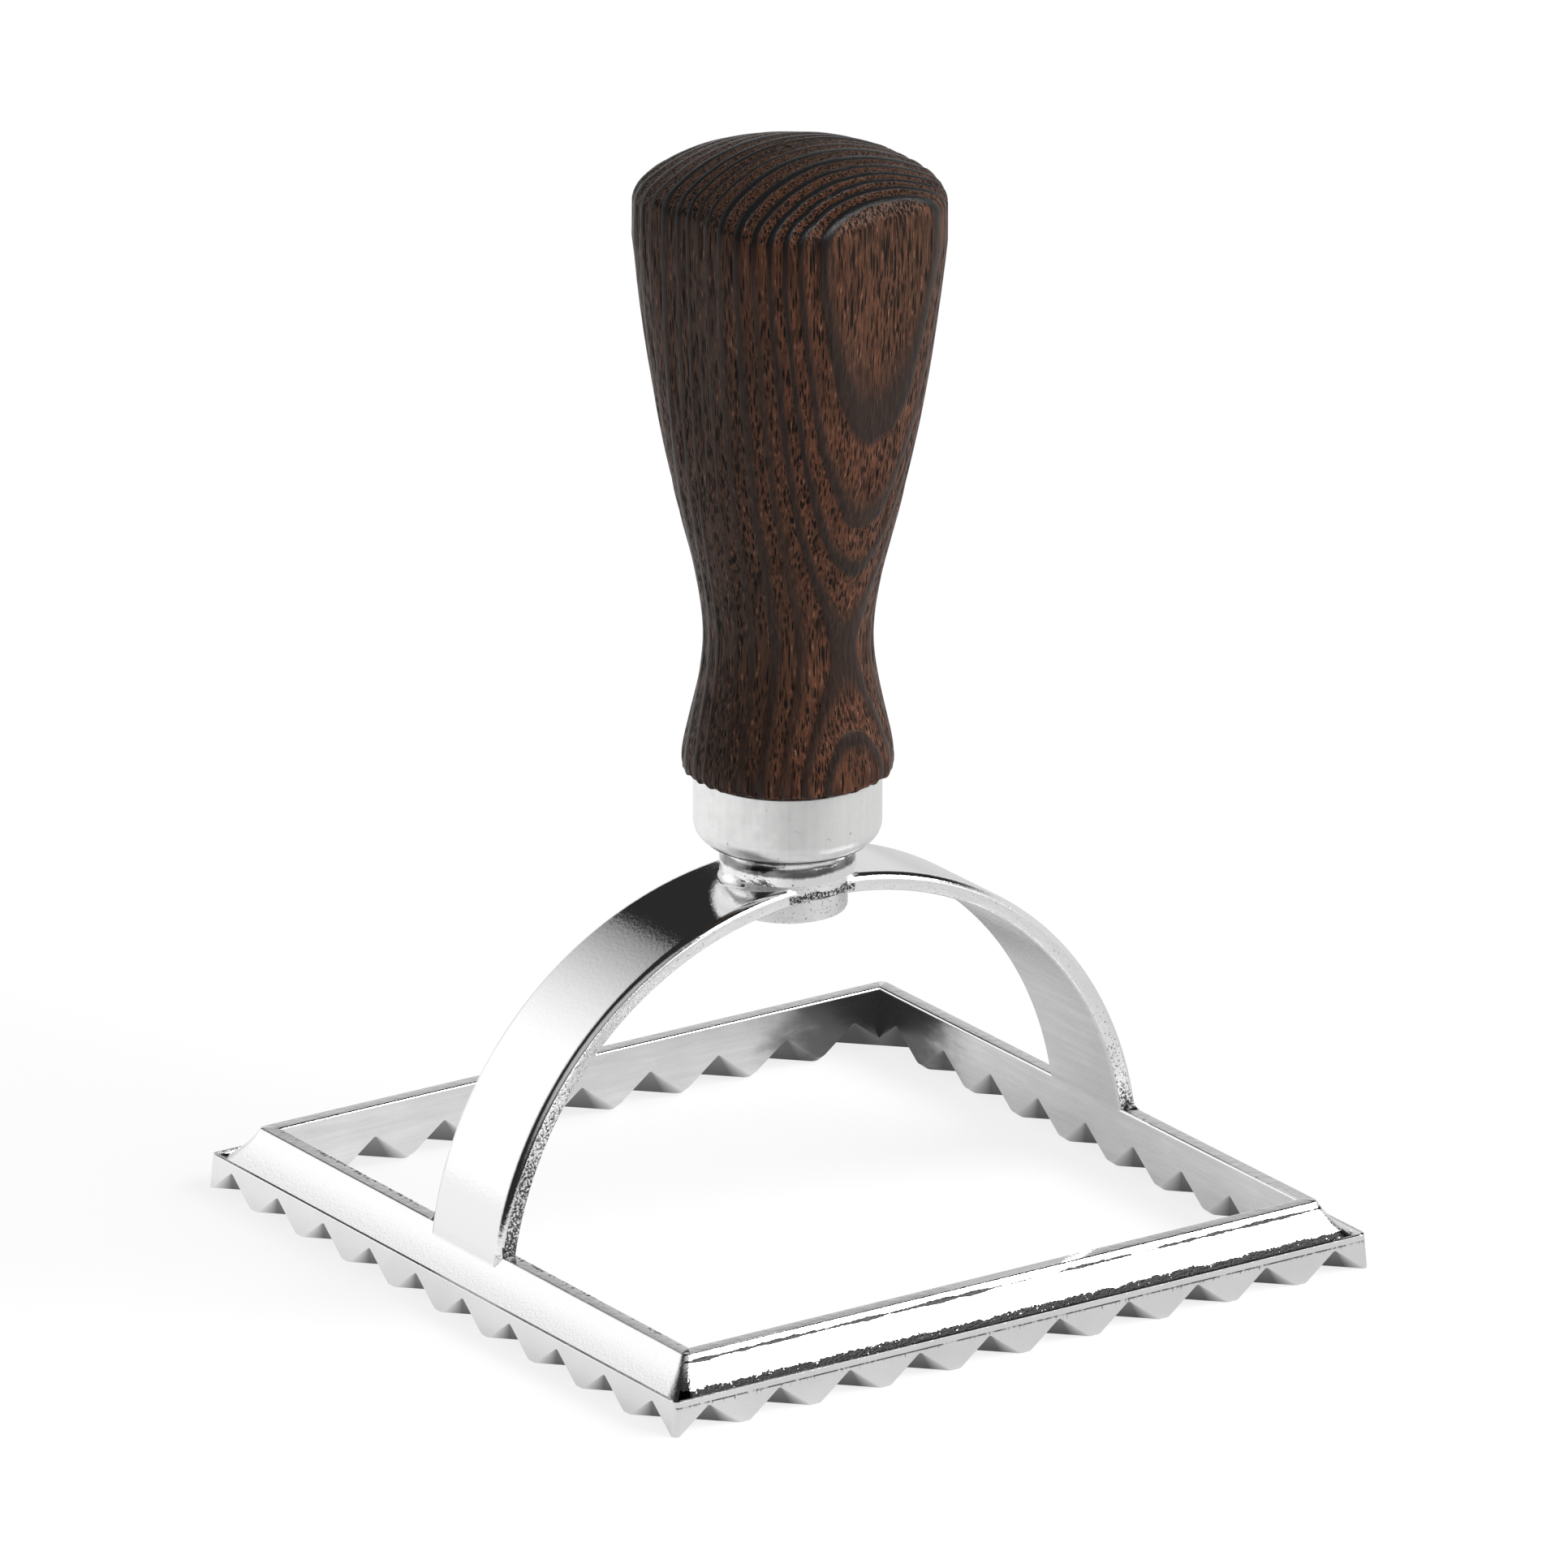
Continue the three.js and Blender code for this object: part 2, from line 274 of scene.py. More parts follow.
studio = {
    "floorSide": 12000.0, "floorFront": 260.0, "floorGap": 0.02, "floorColour": (0.92, 0.92, 0.92, 1),
    "floorRoughness": 0.9, "floorOwnLight": 0.82, "floorMirrored": 0.8,
    "mirroredTowards": (-0.8, 0.6, 0.0), "mirroredSpan": (-20.0, 60.0), "mirroredPaintedShade": (0.58, 1.0),
    "softboxTowards": (0.53, -0.556, 0.64), "softboxDistance": 2400.0, "softboxSize": (1900.0, 1060.0),
    "softboxRadiance": 12.5, "fillLevel": 0.42, "darkLevel": 0.025,
    "sweepLevel": 0.78, "sweepTowards": (0.566, 0.825, 0.0), "sweepTop": (0.46, 0.29),
    "sweepSide": (-0.1, 0.25),
    "sideBoxTowards": (-0.525, 0.809, 0.263), "sideBoxEdge": (0.742, 0.760), "sideBoxSlope": (0.77, 0.965),
    "sideBoxLevel": (0.30, 0.85),
    "lowCardTowards": (0.53, -0.79, 0.31), "lowCardEdge": (0.93, 0.965), "lowCardLevel": 1.0,
    "fillCardTowards": (-0.36, -0.68, 0.63), "fillCardEdge": (0.82, 0.98), "fillCardLevel": 0.5,
}


def rayIs(path, *names):
    total = path.outputs[names[0]]
    for name in names[1:]:
        total = maths("MAXIMUM", total, path.outputs[name])
    return total


def addFloor():
    bm = bmesh.new()
    bmesh.ops.create_grid(bm, x_segments=4, y_segments=4, size=studio["floorSide"] / 2 * mm)
    back = studio["floorSide"] / 2 - studio["floorFront"]
    bmesh.ops.translate(bm, verts=bm.verts, vec=at(0, back, -studio["floorGap"]))
    swivel(bm, bm.verts, cameraSetup["azimuth"])
    material, tree, shader = newMaterial("paleFloor", metallic=0.0)
    coat(shader, studio["floorColour"], studio["floorRoughness"])
    shader.inputs["Specular IOR Level"].default_value = 0.0
    glow = addNode(tree, "ShaderNodeEmission", {"Color": (1, 1, 1, 1), "Strength": 1.0})
    path = addNode(tree, "ShaderNodeLightPath")
    seen = rayIs(path, "Is Camera Ray", "Is Transmission Ray")
    share = product(seen, studio["floorOwnLight"])
    both = addNode(tree, "ShaderNodeMixShader", {0: share, 1: shader.outputs[0], 2: glow.outputs[0]})
    # painted shade and light that the metal mirrors: for glossy rays the floor glows, darker towards the
    # right front and lighter towards the left back
    spot = addNode(tree, "ShaderNodeTexCoord").outputs["Object"]
    near, far = studio["mirroredSpan"]
    level = remap(dot(spot, studio["mirroredTowards"]), near * mm, far * mm, *studio["mirroredPaintedShade"])
    paintedShadeImage = addNode(tree, "ShaderNodeEmission", {"Color": (1, 1, 1, 1), "Strength": level})
    mirrored = product(path.outputs["Is Glossy Ray"], studio["floorMirrored"])
    both = addNode(tree, "ShaderNodeMixShader", {0: mirrored, 1: both.outputs[0], 2: paintedShadeImage.outputs[0]})
    feed(tree.nodes["Material Output"], {"Surface": both.outputs[0]})
    floor = toPiece(bm, "paleFloor", [material])


def addSoftbox():
    towards = Vector(studio["softboxTowards"]).normalized()
    wide, tall = (size * mm for size in studio["softboxSize"])
    lamp = bpy.data.lights.new("softbox", "AREA")
    lamp.shape = "RECTANGLE"
    lamp.size, lamp.size_y = wide, tall
    lamp.energy = studio["softboxRadiance"] * math.pi * wide * tall
    box = bpy.data.objects.new("softbox", lamp)
    box.location = towards * studio["softboxDistance"] * mm
    acrossAxis = Vector((0, 0, 1)).cross(towards).normalized()  # its long side lies level
    alongAxis = towards.cross(acrossAxis)
    box.rotation_euler = Matrix((acrossAxis, alongAxis, towards)).transposed().to_euler()
    scene.collection.objects.link(box)


def addWorld():
    world = bpy.data.worlds.new("studio")
    world.use_nodes = True
    scene.world = world
    tree = world.node_tree
    direction = addNode(tree, "ShaderNodeTexCoord").outputs["Generated"]
    height = addNode(tree, "ShaderNodeSeparateXYZ", {0: direction}).outputs["Z"]

    def facing(axis):
        return dot(direction, Vector(axis).normalized())

    low = remap(height, *studio["sweepTop"], smooth=True)
    behind = remap(facing(studio["sweepTowards"]), *studio["sweepSide"], smooth=True)
    sweep = product(low, behind, studio["sweepLevel"])
    beside = facing(studio["sideBoxTowards"])
    sideBox = maths("ADD",
                    remap(beside, *studio["sideBoxEdge"], toMax=studio["sideBoxLevel"][0], smooth=True),
                    remap(beside, *studio["sideBoxSlope"], toMax=studio["sideBoxLevel"][1]))
    lowCard = remap(facing(studio["lowCardTowards"]), *studio["lowCardEdge"],
                    toMax=studio["lowCardLevel"], smooth=True)
    fillCard = remap(facing(studio["fillCardTowards"]), *studio["fillCardEdge"],
                     toMin=studio["darkLevel"], toMax=studio["fillCardLevel"], smooth=True)
    mirrored = maths("MAXIMUM", maths("MAXIMUM", sweep, sideBox),
                     maths("MAXIMUM", lowCard, fillCard))
    path = addNode(tree, "ShaderNodeLightPath")
    soft = mixValue(path.outputs["Is Glossy Ray"], studio["fillLevel"], mirrored)
    seen = rayIs(path, "Is Camera Ray", "Is Transmission Ray")
    feed(tree.nodes["Background"], {"Color": (1, 1, 1, 1), "Strength": mixValue(seen, soft, 1.0)})


# plated casting: finishes

# shade is painted shade for the tooth valleys, the inner corners and the hollow under the hub's flare;
# coveShadeColour is painted shade and reflection in the cove
plating = {
    "bright": (0.88, 0.88, 0.885, 1), "satin": (0.90, 0.90, 0.905, 1), "dull": (0.82, 0.82, 0.825, 1),
    "groove": (0.70, 0.70, 0.705, 1), "skin": (0.88, 0.88, 0.88, 1), "grit": (0.05, 0.05, 0.05, 1),
    "streak": (0.10, 0.10, 0.10, 1), "shade": (0.07, 0.07, 0.072, 1), "coveShadeColour": (0.018, 0.018, 0.018, 1),
    "pitEdge": 0.05, "mirror": (0.025, 0.065),
}

landPits = {"share": 0.20, "span": (0.9, 0.35), "fade": 10.0, "least": 0.4}

coveShadeMarks = {
    "crease": 5.45, "creaseWidth": 0.22, "creaseRagged": 0.16,
    "footTop": (3.44, 3.68), "footRagged": 0.42, "footInset": 0.04, "footSpecks": 0.66,
}

cornerShade = {"span": (7.0, 15.0), "most": 0.86, "wander": 9.0}

neckPaintedReflection = {"span": (35.45, 36.4), "soft": 0.12, "wander": 0.9, "level": (0.55, 0.93), "roughness": 0.10}

grooveShade = {"least": 0.12, "depth": (0.02, 0.42), "level": (0.95, 0.75), "roughness": (0.16, 0.24)}

wallMarks = {"seam": 0.58, "soft": 0.03, "drip": 0.8, "line": (0.16, 0.10), "roughness": (0.20, 0.30)}

skinMarks = {
    "flashSoft": 0.15, "flashWander": 1.2, "flashMore": 0.16, "edge": 0.04,
    "easeTilt": 10.0, "easeShare": (-0.02, 0.15), "easeBump": 0.22, "foot": (0.6, 2.4), "footMore": 0.05,
}


def brightPlate(name, pits, fineness, depth, edge=None, cove=None):
    # mirror plate; pits is the share of small dark holes, fineness and depth are those of the ripple; edge
    #  adds holes beside the inner edge, cove painted shade and reflection on the sides along x: a broken dark
    #  line at the crease and a ragged dark band at the foot
    material, tree, shader = newMaterial(name)
    speck = objectNoise(tree, 2.6, detail=4, roughness=0.7)
    if edge:
        x, y, _ = place(tree)
        far, near = ((frameShape["innerHalf"] + gap) * mm for gap in edge["span"])
        beside = product(remap(maths("ABSOLUTE", x), far, near), alongX(y, x))
        gather = remap(objectNoise(tree, 0.2, detail=3), 0.35, 0.6, 0.3, 1.0)
        fade = remap(x, -edge["fade"] * mm, edge["fade"] * mm, 1.0, edge["least"])
        speck = maths("SUBTRACT", speck, product(beside, gather, fade, edge["share"]))
    clean = remap(speck, pits, pits + plating["pitEdge"])
    colour = mixColour(clean, plating["grit"], plating["bright"])
    if cove:
        # painted shade and reflection in the cove, on the sides along x only: a dark line at the crease and a
        # ragged dark band at the foot
        x, y, z = place(tree)
        broken = objectNoise(tree, 0.25, detail=5, roughness=0.7)
        ragged = objectNoise(tree, 2.8, detail=3, shift=(3, 1, 6))
        off = maths("SUBTRACT", unsettled(z, ragged, cove["creaseRagged"]), cove["crease"] * mm)
        line = maths("LESS_THAN", maths("ABSOLUTE", off),
                     remap(broken, 0.34, 0.66, 0.0, cove["creaseWidth"] * mm))
        inset = (frameShape["coveFoot"][0] - cove["footInset"]) * mm
        top = remap(broken, 0.35, 0.65, *(height * mm for height in cove["footTop"]))
        foot = product(maths("LESS_THAN", unsettled(z, ragged, cove["footRagged"]), top),
                       maths("LESS_THAN", farthest(x, y), inset),
                       maths("LESS_THAN", speck, cove["footSpecks"]))
        dark = product(maths("MAXIMUM", line, foot), alongX(x, y))
        colour = mixColour(dark, colour, plating["coveShadeColour"])
    haze = objectNoise(tree, 0.35, detail=3)
    coat(shader, colour, remap(haze, 0.3, 0.75, *plating["mirror"]))
    addBump(shader, objectNoise(tree, fineness, detail=4, roughness=0.65), 1.0, depth)
    return material


def alongX(x, y):
    # 1 on the two sides that run along x, 0 on the two under the arch; x and y swapped give the other two
    return maths("GREATER_THAN", maths("ABSOLUTE", y), maths("ABSOLUTE", x))


def farthest(x, y):
    return maths("MAXIMUM", maths("ABSOLUTE", x), maths("ABSOLUTE", y))


def farCornerShade(tree, x, y):
    # painted shade in the inner corner, dark where two walls mirror each other
    shade, corner = cornerShade, frameShape["innerHalf"] * mm
    away = maths("ADD", *(maths("ABSOLUTE", maths("SUBTRACT", axis, corner)) for axis in (x, y)))
    cloud = objectNoise(tree, (0.25, 0.25, 0.5), detail=3, shift=(6, 1, 2))
    near, far = (reach * mm for reach in shade["span"])
    return remap(unsettled(away, cloud, shade["wander"]), near, far, shade["most"], 0.0, smooth=True)


def neckPlate():
    # plate on the hub over the band, with a painted dark reflection in the hollow under the flare
    material, tree, shader = newMaterial("neckPlate")
    wave = objectNoise(tree, 0.45, detail=4, roughness=0.65)
    ring = between(unsettled(place(tree)[2], wave, neckPaintedReflection["wander"]), *neckPaintedReflection["span"],
                   neckPaintedReflection["soft"])
    speck = objectNoise(tree, 2.6, detail=4, roughness=0.7, shift=(5, 2, 8))
    colour = mixColour(remap(speck, 0.31, 0.36), plating["grit"], plating["bright"])
    tone = objectNoise(tree, 0.3, detail=2, shift=(1, 6, 4))
    # painted dark reflection in the hollow under the flare
    dark = product(ring, remap(tone, 0.3, 0.55, *neckPaintedReflection["level"]))
    colour = mixColour(dark, colour, plating["shade"])
    coat(shader, colour, neckPaintedReflection["roughness"])
    addBump(shader, objectNoise(tree, 1.1, detail=4, roughness=0.6), 1.0, 0.05)
    return material


def groovePlate(name, edge, reach, rise):
    # smooth sides of the teeth with painted shade, darkest in the valleys and towards the foot; edge is where
    # the wall is, reach how far the valleys
    #  go from it at the foot, rise the height at which they run out
    material, tree, shader = newMaterial(name)
    x, y, z = place(tree)
    cloud = objectNoise(tree, 0.5, detail=4)
    colour = mixColour(remap(cloud, 0.3, 0.7), plating["dull"], plating["satin"])
    depth = maths("ABSOLUTE", maths("SUBTRACT", farthest(x, y), edge * mm))
    # painted shade: darker deep in the valleys and lower down
    deepest = remap(z, 0.0, rise * mm, reach * mm, grooveShade["least"] * mm)
    paintedValleyShade = remap(maths("DIVIDE", depth, deepest), *grooveShade["depth"])
    dark = product(paintedValleyShade, remap(z, 0.0, rise * mm, *grooveShade["level"]))
    colour = mixColour(dark, colour, plating["shade"])
    if edge < zigzag["outerValley"]:
        colour = mixColour(farCornerShade(tree, x, y), colour, plating["shade"])
    coat(shader, colour, remap(cloud, 0.3, 0.7, *grooveShade["roughness"]))
    addBump(shader, objectNoise(tree, 2.2, detail=3), 0.5, 0.012)
    return material


def innerPlate():
    # satin inner walls and underside of the arch, polished along their length or width
    material, tree, shader = newMaterial("innerPlate")
    x, y, _ = place(tree)
    cloud = objectNoise(tree, 0.22, detail=4)
    lines = mixValue(alongX(x, y), objectNoise(tree, (1.3, 0.10, 1.3), detail=5, roughness=0.65),
                     objectNoise(tree, (0.10, 1.3, 1.3), detail=5, roughness=0.65))
    colour = mixColour(remap(cloud, 0.3, 0.7), plating["dull"], plating["satin"])
    colour = mixColour(remap(lines, 0.35, 0.65, 0.0, 0.55), colour, plating["groove"])
    colour = mixColour(farCornerShade(tree, x, y), colour, plating["shade"])
    spots = objectNoise(tree, 1.9, detail=3, shift=(4, 9, 2))
    colour = mixColour(remap(spots, 0.73, 0.77, 0.0, 0.5), colour, plating["groove"])
    coat(shader, colour, remap(lines, 0.3, 0.7, 0.22, 0.30))
    addBump(shader, lines, 0.25, 0.02)
    return material


def wallPlate():
    # satin outer walls with a dark line and drawn drips under the lip
    material, tree, shader = newMaterial("wallPlate")
    marks, (x, y, z) = wallMarks, place(tree)
    cloud = objectNoise(tree, 0.22, detail=4)
    colour = mixColour(remap(cloud, 0.3, 0.7), plating["dull"], plating["bright"])
    across = alongX(x, y)
    seam = frameShape["lipHeight"] - marks["seam"]
    under = remap(z, (seam + marks["soft"]) * mm, (seam - marks["soft"]) * mm)
    near = product(remap(z, (seam - marks["drip"]) * mm, seam * mm), across)
    drawn = objectNoise(tree, (3.4, 3.4, 0.5), detail=4, roughness=0.65)
    hanging = remap(maths("ADD", drawn, product(near, 0.20)), 0.70, 0.80, 0.0, 0.8)
    broken = objectNoise(tree, 1.3, detail=4, roughness=0.7)
    line = product(remap(z, *((seam - drop) * mm for drop in marks["line"])),
                   remap(broken, 0.40, 0.50), across)
    dirt = product(maths("MAXIMUM", hanging, line), under)
    colour = mixColour(dirt, colour, plating["streak"])
    fine = objectNoise(tree, (1.4, 1.4, 0.22), detail=5, roughness=0.65)
    coat(shader, colour, remap(fine, 0.3, 0.7, *marks["roughness"]))
    addBump(shader, fine, 0.1, 0.02)
    return material


def gritty(name, share, roughness, depth, flash=None, ease=None):
    # plated over a rough mould skin; share is how much stays dark, more between the heights of a flash line;
    # ease is two heights between which the skin gets smooth, lower down where x is positive
    material, tree, shader = newMaterial(name)
    marks, grit = skinMarks, objectNoise(tree, 4.4, detail=5, roughness=0.7)
    dark, strength = grit, 1.0
    if ease:
        x, _, z = place(tree)
        tilt = marks["easeTilt"] * mm
        level = maths("ADD", z, remap(x, -tilt / 2, tilt / 2, 0.0, tilt))
        low, high = (height * mm for height in ease)
        near, far = ((frameShape["height"] + rise) * mm for rise in marks["foot"])
        dark = maths("ADD", grit, remap(level, low, high, *marks["easeShare"]))
        dark = maths("SUBTRACT", dark, remap(z, near, far, marks["footMore"], 0.0))
        strength = remap(level, low, high, 1.0, marks["easeBump"])
    if flash:
        level = unsettled(place(tree)[2], objectNoise(tree, 0.5, detail=3), marks["flashWander"])
        band = between(level, *flash, marks["flashSoft"])
        dark = maths("SUBTRACT", grit, product(band, marks["flashMore"]))
    plated = remap(dark, share - marks["edge"], share + marks["edge"])
    coat(shader, mixColour(plated, plating["grit"], plating["skin"]), roughness)
    addBump(shader, grit, strength, depth)
    return material


# plated casting: the square frame with its zigzag edge

frameShape = {
    "outerHalf": 37.5, "innerHalf": 32.75, "landHalf": 34.25, "lipHalf": 37.3, "height": 6.05,
    "lipHeight": 3.25, "lipCrest": 0.32, "coveFoot": (36.82, 2.95), "coveSteps": 18,
    "coveHandles": ((35.85, 3.82), (34.82, 4.72)), "outerCorner": 0.6,
    "landCorner": 0.7, "cornerGrowth": 0.42, "cornerSteps": 8,
    "landOuterRound": 0.16, "landInnerRound": 0.22, "lipRound": 0.07,
}


def frameSection():
    shape = frameShape
    start, end = Vector(shape["coveFoot"]), Vector((shape["landHalf"], shape["height"]))
    handleA, handleB = (Vector(handle) for handle in shape["coveHandles"])
    cove = []
    for i in range(shape["coveSteps"] + 1):
        s = i / shape["coveSteps"]
        cove.append(tuple(start * (1 - s) ** 3 + handleA * 3 * s * (1 - s) ** 2
                          + handleB * 3 * s * s * (1 - s) + end * s ** 3))
    lip = [(shape["lipHalf"], shape["lipHeight"]), (shape["lipHalf"] - shape["lipCrest"], shape["lipHeight"])]
    points = [(shape["innerHalf"], 0), (shape["outerHalf"], 0)] + lip + cove
    points.append((shape["innerHalf"], shape["height"]))
    rounding = (
        ((2, 3), shape["lipRound"], 3),
        ((len(points) - 2,), shape["landOuterRound"], 4),
        ((len(points) - 1,), shape["landInnerRound"], 4),
    )
    return points, rounding


def squareFrame():
    shape = frameShape
    corner = shape["landHalf"] - shape["landCorner"]
    bm = bmesh.new()
    points, rounding = frameSection()
    outline(bm, points, lambda u, z: at(corner, -u, z), rounding)
    half = bm.verts.layers.float.new("half")
    mitred = bm.verts.layers.int.new("mitred")
    for vert in bm.verts:
        u, z = -vert.co.y / mm, vert.co.z / mm
        vert[half] = u
        inside = u < shape["landHalf"] - 0.6
        below = z < 0.01 or u > shape["coveFoot"][0] + 0.02
        vert[mitred] = int(inside or below)
    bmesh.ops.delete(bm, geom=bm.faces[:], context="FACES_ONLY")
    loop = bm.edges[:]
    turns = (((1, -1), (0, 1)), ((1, 1), (-1, 0)), ((-1, 1), (0, -1)), ((-1, -1), (1, 0)))

    def plain(verts, signX, signY):
        # back to the plain section before the turn
        for vert in verts:
            reach = vert[half] * mm
            vert.co.x = signX * corner * mm if signX * signY < 0 else signX * reach
            vert.co.y = signY * reach if signX * signY < 0 else signY * corner * mm

    def mitre(verts, signX, signY):
        # sharp at the lip and inside; on the cove an arc that widens towards the foot
        for vert in verts:
            reach = vert[half]
            if vert[mitred]:
                vert.co.x, vert.co.y = signX * reach * mm, signY * reach * mm
                continue
            past = reach - shape["landHalf"]
            radius = shape["landCorner"] + past * (shape["cornerGrowth"] if past > 0 else 1)
            share, centre = radius / (reach - corner), reach - radius
            vert.co.x = signX * centre * mm + (vert.co.x - signX * corner * mm) * share
            vert.co.y = signY * centre * mm + (vert.co.y - signY * corner * mm) * share

    for (signX, signY), run in turns:
        loopVerts = list({vert for edge in loop for vert in edge.verts})
        plain(loopVerts, signX, signY)
        known = set(bm.verts)
        turned = bmesh.ops.spin(bm, geom=loopVerts + loop, cent=at(signX * corner, signY * corner, 0),
                                axis=(0, 0, 1), angle=math.pi / 2, steps=shape["cornerSteps"],
                                use_merge=False, use_duplicate=False)
        mitre(loopVerts + [vert for vert in bm.verts if vert not in known], signX, signY)
        drawn = bmesh.ops.extrude_edge_only(bm, edges=edgesOf(turned["geom_last"]))["geom"]
        drawnVerts = vertsOf(drawn)
        bmesh.ops.translate(bm, verts=drawnVerts, vec=at(run[0] * 2 * corner, run[1] * 2 * corner, 0))
        loop = edgesOf(drawn)
    plain(drawnVerts, 1, -1)
    mitre(drawnVerts, 1, -1)
    closeUp(bm, 0.002)
    bm.verts.layers.float.remove(bm.verts.layers.float["half"])
    bm.verts.layers.int.remove(bm.verts.layers.int["mitred"])

    def onCorner(vert):
        x, y, z = vert.co / mm
        outside = abs(x) > shape["lipHalf"] - 0.2 and z < shape["lipHeight"] + 0.01
        return outside and abs(abs(x) - abs(y)) < 0.02

    upright = [edge for edge in bm.edges if all(onCorner(vert) for vert in edge.verts)
               and abs(edge.verts[0].co.z - edge.verts[1].co.z) > 0.003 * mm]
    bmesh.ops.bevel(bm, geom=upright, offset=shape["outerCorner"] * mm, offset_type="OFFSET", segments=5,
                    profile=0.5, affect="EDGES", clamp_overlap=True, material=-1)
    closeUp(bm)
    return bm


zigzag = {
    "pitch": 7.5, "grooves": 10, "undercut": 0.05,
    "outerValley": 34.25, "outerHeight": 2.5, "outerTip": 37.56, "outerLimit": 38.2,
    "outerValleyRound": 0.25, "outerTipRound": 0.6,
    "innerValley": 37.01, "innerHeight": 3.2, "innerLimit": 32.0, "innerCut": 32.70,
    "innerValleyRound": 0.3, "innerTipRound": 0.7, "overrun": 0.25,
}


def drawGrooves(bm, points, rounding, height, lean):
    # one wavy outline along the side, drawn up along the slope of the valleys
    outline(bm, points, lambda x, u: at(x, -u, -zigzag["undercut"]), rounding)
    rise = height + zigzag["overrun"] + zigzag["undercut"]
    drawOut(bm, at(0, rise * lean, rise))


def outerGrooves(bm):
    shape = zigzag
    slope = (frameShape["outerHalf"] - shape["outerValley"]) / shape["outerHeight"]
    valley = shape["outerValley"] - shape["undercut"] * slope
    spread = shape["outerTip"] - valley
    points, valleys, tips = [], [], []
    for i in range(shape["grooves"]):
        along = (i + 0.5) * shape["pitch"] - frameShape["outerHalf"]
        tips.append(len(points))
        points.append((along - spread, shape["outerTip"]))
        valleys.append(len(points))
        points.append((along, valley))
        tips.append(len(points))
        points.append((along + spread, shape["outerTip"]))
    end = points[-1][0] + 0.4
    points += [(end, shape["outerTip"]), (end, shape["outerLimit"]), (-end, shape["outerLimit"]),
               (-end, shape["outerTip"])]
    rounding = ((valleys, shape["outerValleyRound"], 5), (tips, shape["outerTipRound"], 5))
    drawGrooves(bm, points, rounding, shape["outerHeight"], -slope)
    closeUp(bm)


def innerGrooves(bm):
    shape = zigzag
    slope = (shape["innerValley"] - frameShape["innerHalf"]) / shape["innerHeight"]
    valley = shape["innerValley"] + shape["undercut"] * slope
    reach = shape["pitch"] / 2
    points, valleys, tips = [], [], []
    count = shape["grooves"] - 1
    for i in range(count):
        along = (i - (count - 1) / 2) * shape["pitch"]
        if i:
            tips.append(len(points))
            points.append((along - reach, valley - reach))
        valleys.append(len(points))
        points.append((along, valley))
    end = (count - 1) / 2 * shape["pitch"] + valley - shape["innerLimit"]
    points = [(-end, shape["innerLimit"])] + points + [(end, shape["innerLimit"])]
    valleys, tips = [i + 1 for i in valleys], [i + 1 for i in tips]
    rounding = ((valleys, shape["innerValleyRound"], 6), (tips, shape["innerTipRound"], 6))
    drawGrooves(bm, points, rounding, shape["innerHeight"], slope)
    bmesh.ops.bisect_plane(bm, geom=bm.verts[:] + bm.edges[:] + bm.faces[:], plane_no=(0, 1, 0),
                           plane_co=at(0, -shape["innerCut"], 0), clear_outer=True, clear_inner=False)
    closeUp(bm)


def turnedCopies(bm, turns):
    first = bm.verts[:] + bm.edges[:] + bm.faces[:]
    for degrees in turns:
        copied = bmesh.ops.duplicate(bm, geom=first)["geom"]
        swivel(bm, vertsOf(copied), degrees)


# plated casting: arch and hub

archShape = {
    "outer": (35.2, 34.6), "inner": (33.2, 33.0), "fullness": 2.06, "width": 11.0, "footAngle": 5.8,
    "steps": 112, "outerEdge": 0.85, "innerEdge": 0.28,
    "footRadius": 0.9, "footSpan": (33.35, 34.2), "footBase": 5.8, "footInset": 0.6,
}

hubShape = {
    "profile": ((0, 30.8), (5.1, 30.8), (5.31, 30.89), (5.4, 31.1), (5.4, 32.75), (5.46, 32.95),
                (5.62, 33.08), (5.9, 33.14), (6.07, 33.24), (6.13, 33.42), (6.1, 33.7), (6.1, 34.2),
                (6.1, 34.6), (6.1, 35.2), (6.1, 35.7)),
    "flareCentre": (7.65, 35.78), "flareRadius": 1.55, "flareEnd": 97, "steps": 96,
    "seat": ((7.42, 37.3), (7.3, 37.26), (6.85, 37.14), (6.3, 37.11), (0, 37.11)),
    "collarReach": 7.25, "collarBase": 33.5, "collarHeight": 1.35, "collarNarrow": 0.80,
    "collarInset": 0.4, "collarLip": 0.45,
    "boreRadius": 2.3, "recessRadius": 3.7, "recessTop": 33.1,
}

finishLimits = {"hubReach": 7.6, "neckReach": 6.25, "neckBase": 35.0, "bossBase": 30.0, "bandBase": 3.4}


def bandReach(turn, side):
    # from the middle of the frame to the inner or outer side of the band, a shade fuller than an ellipse
    reach, rise = archShape[side]
    power = archShape["fullness"]
    total = (abs(math.cos(turn)) / reach) ** power + (abs(math.sin(turn)) / rise) ** power
    return total ** (-1 / power)


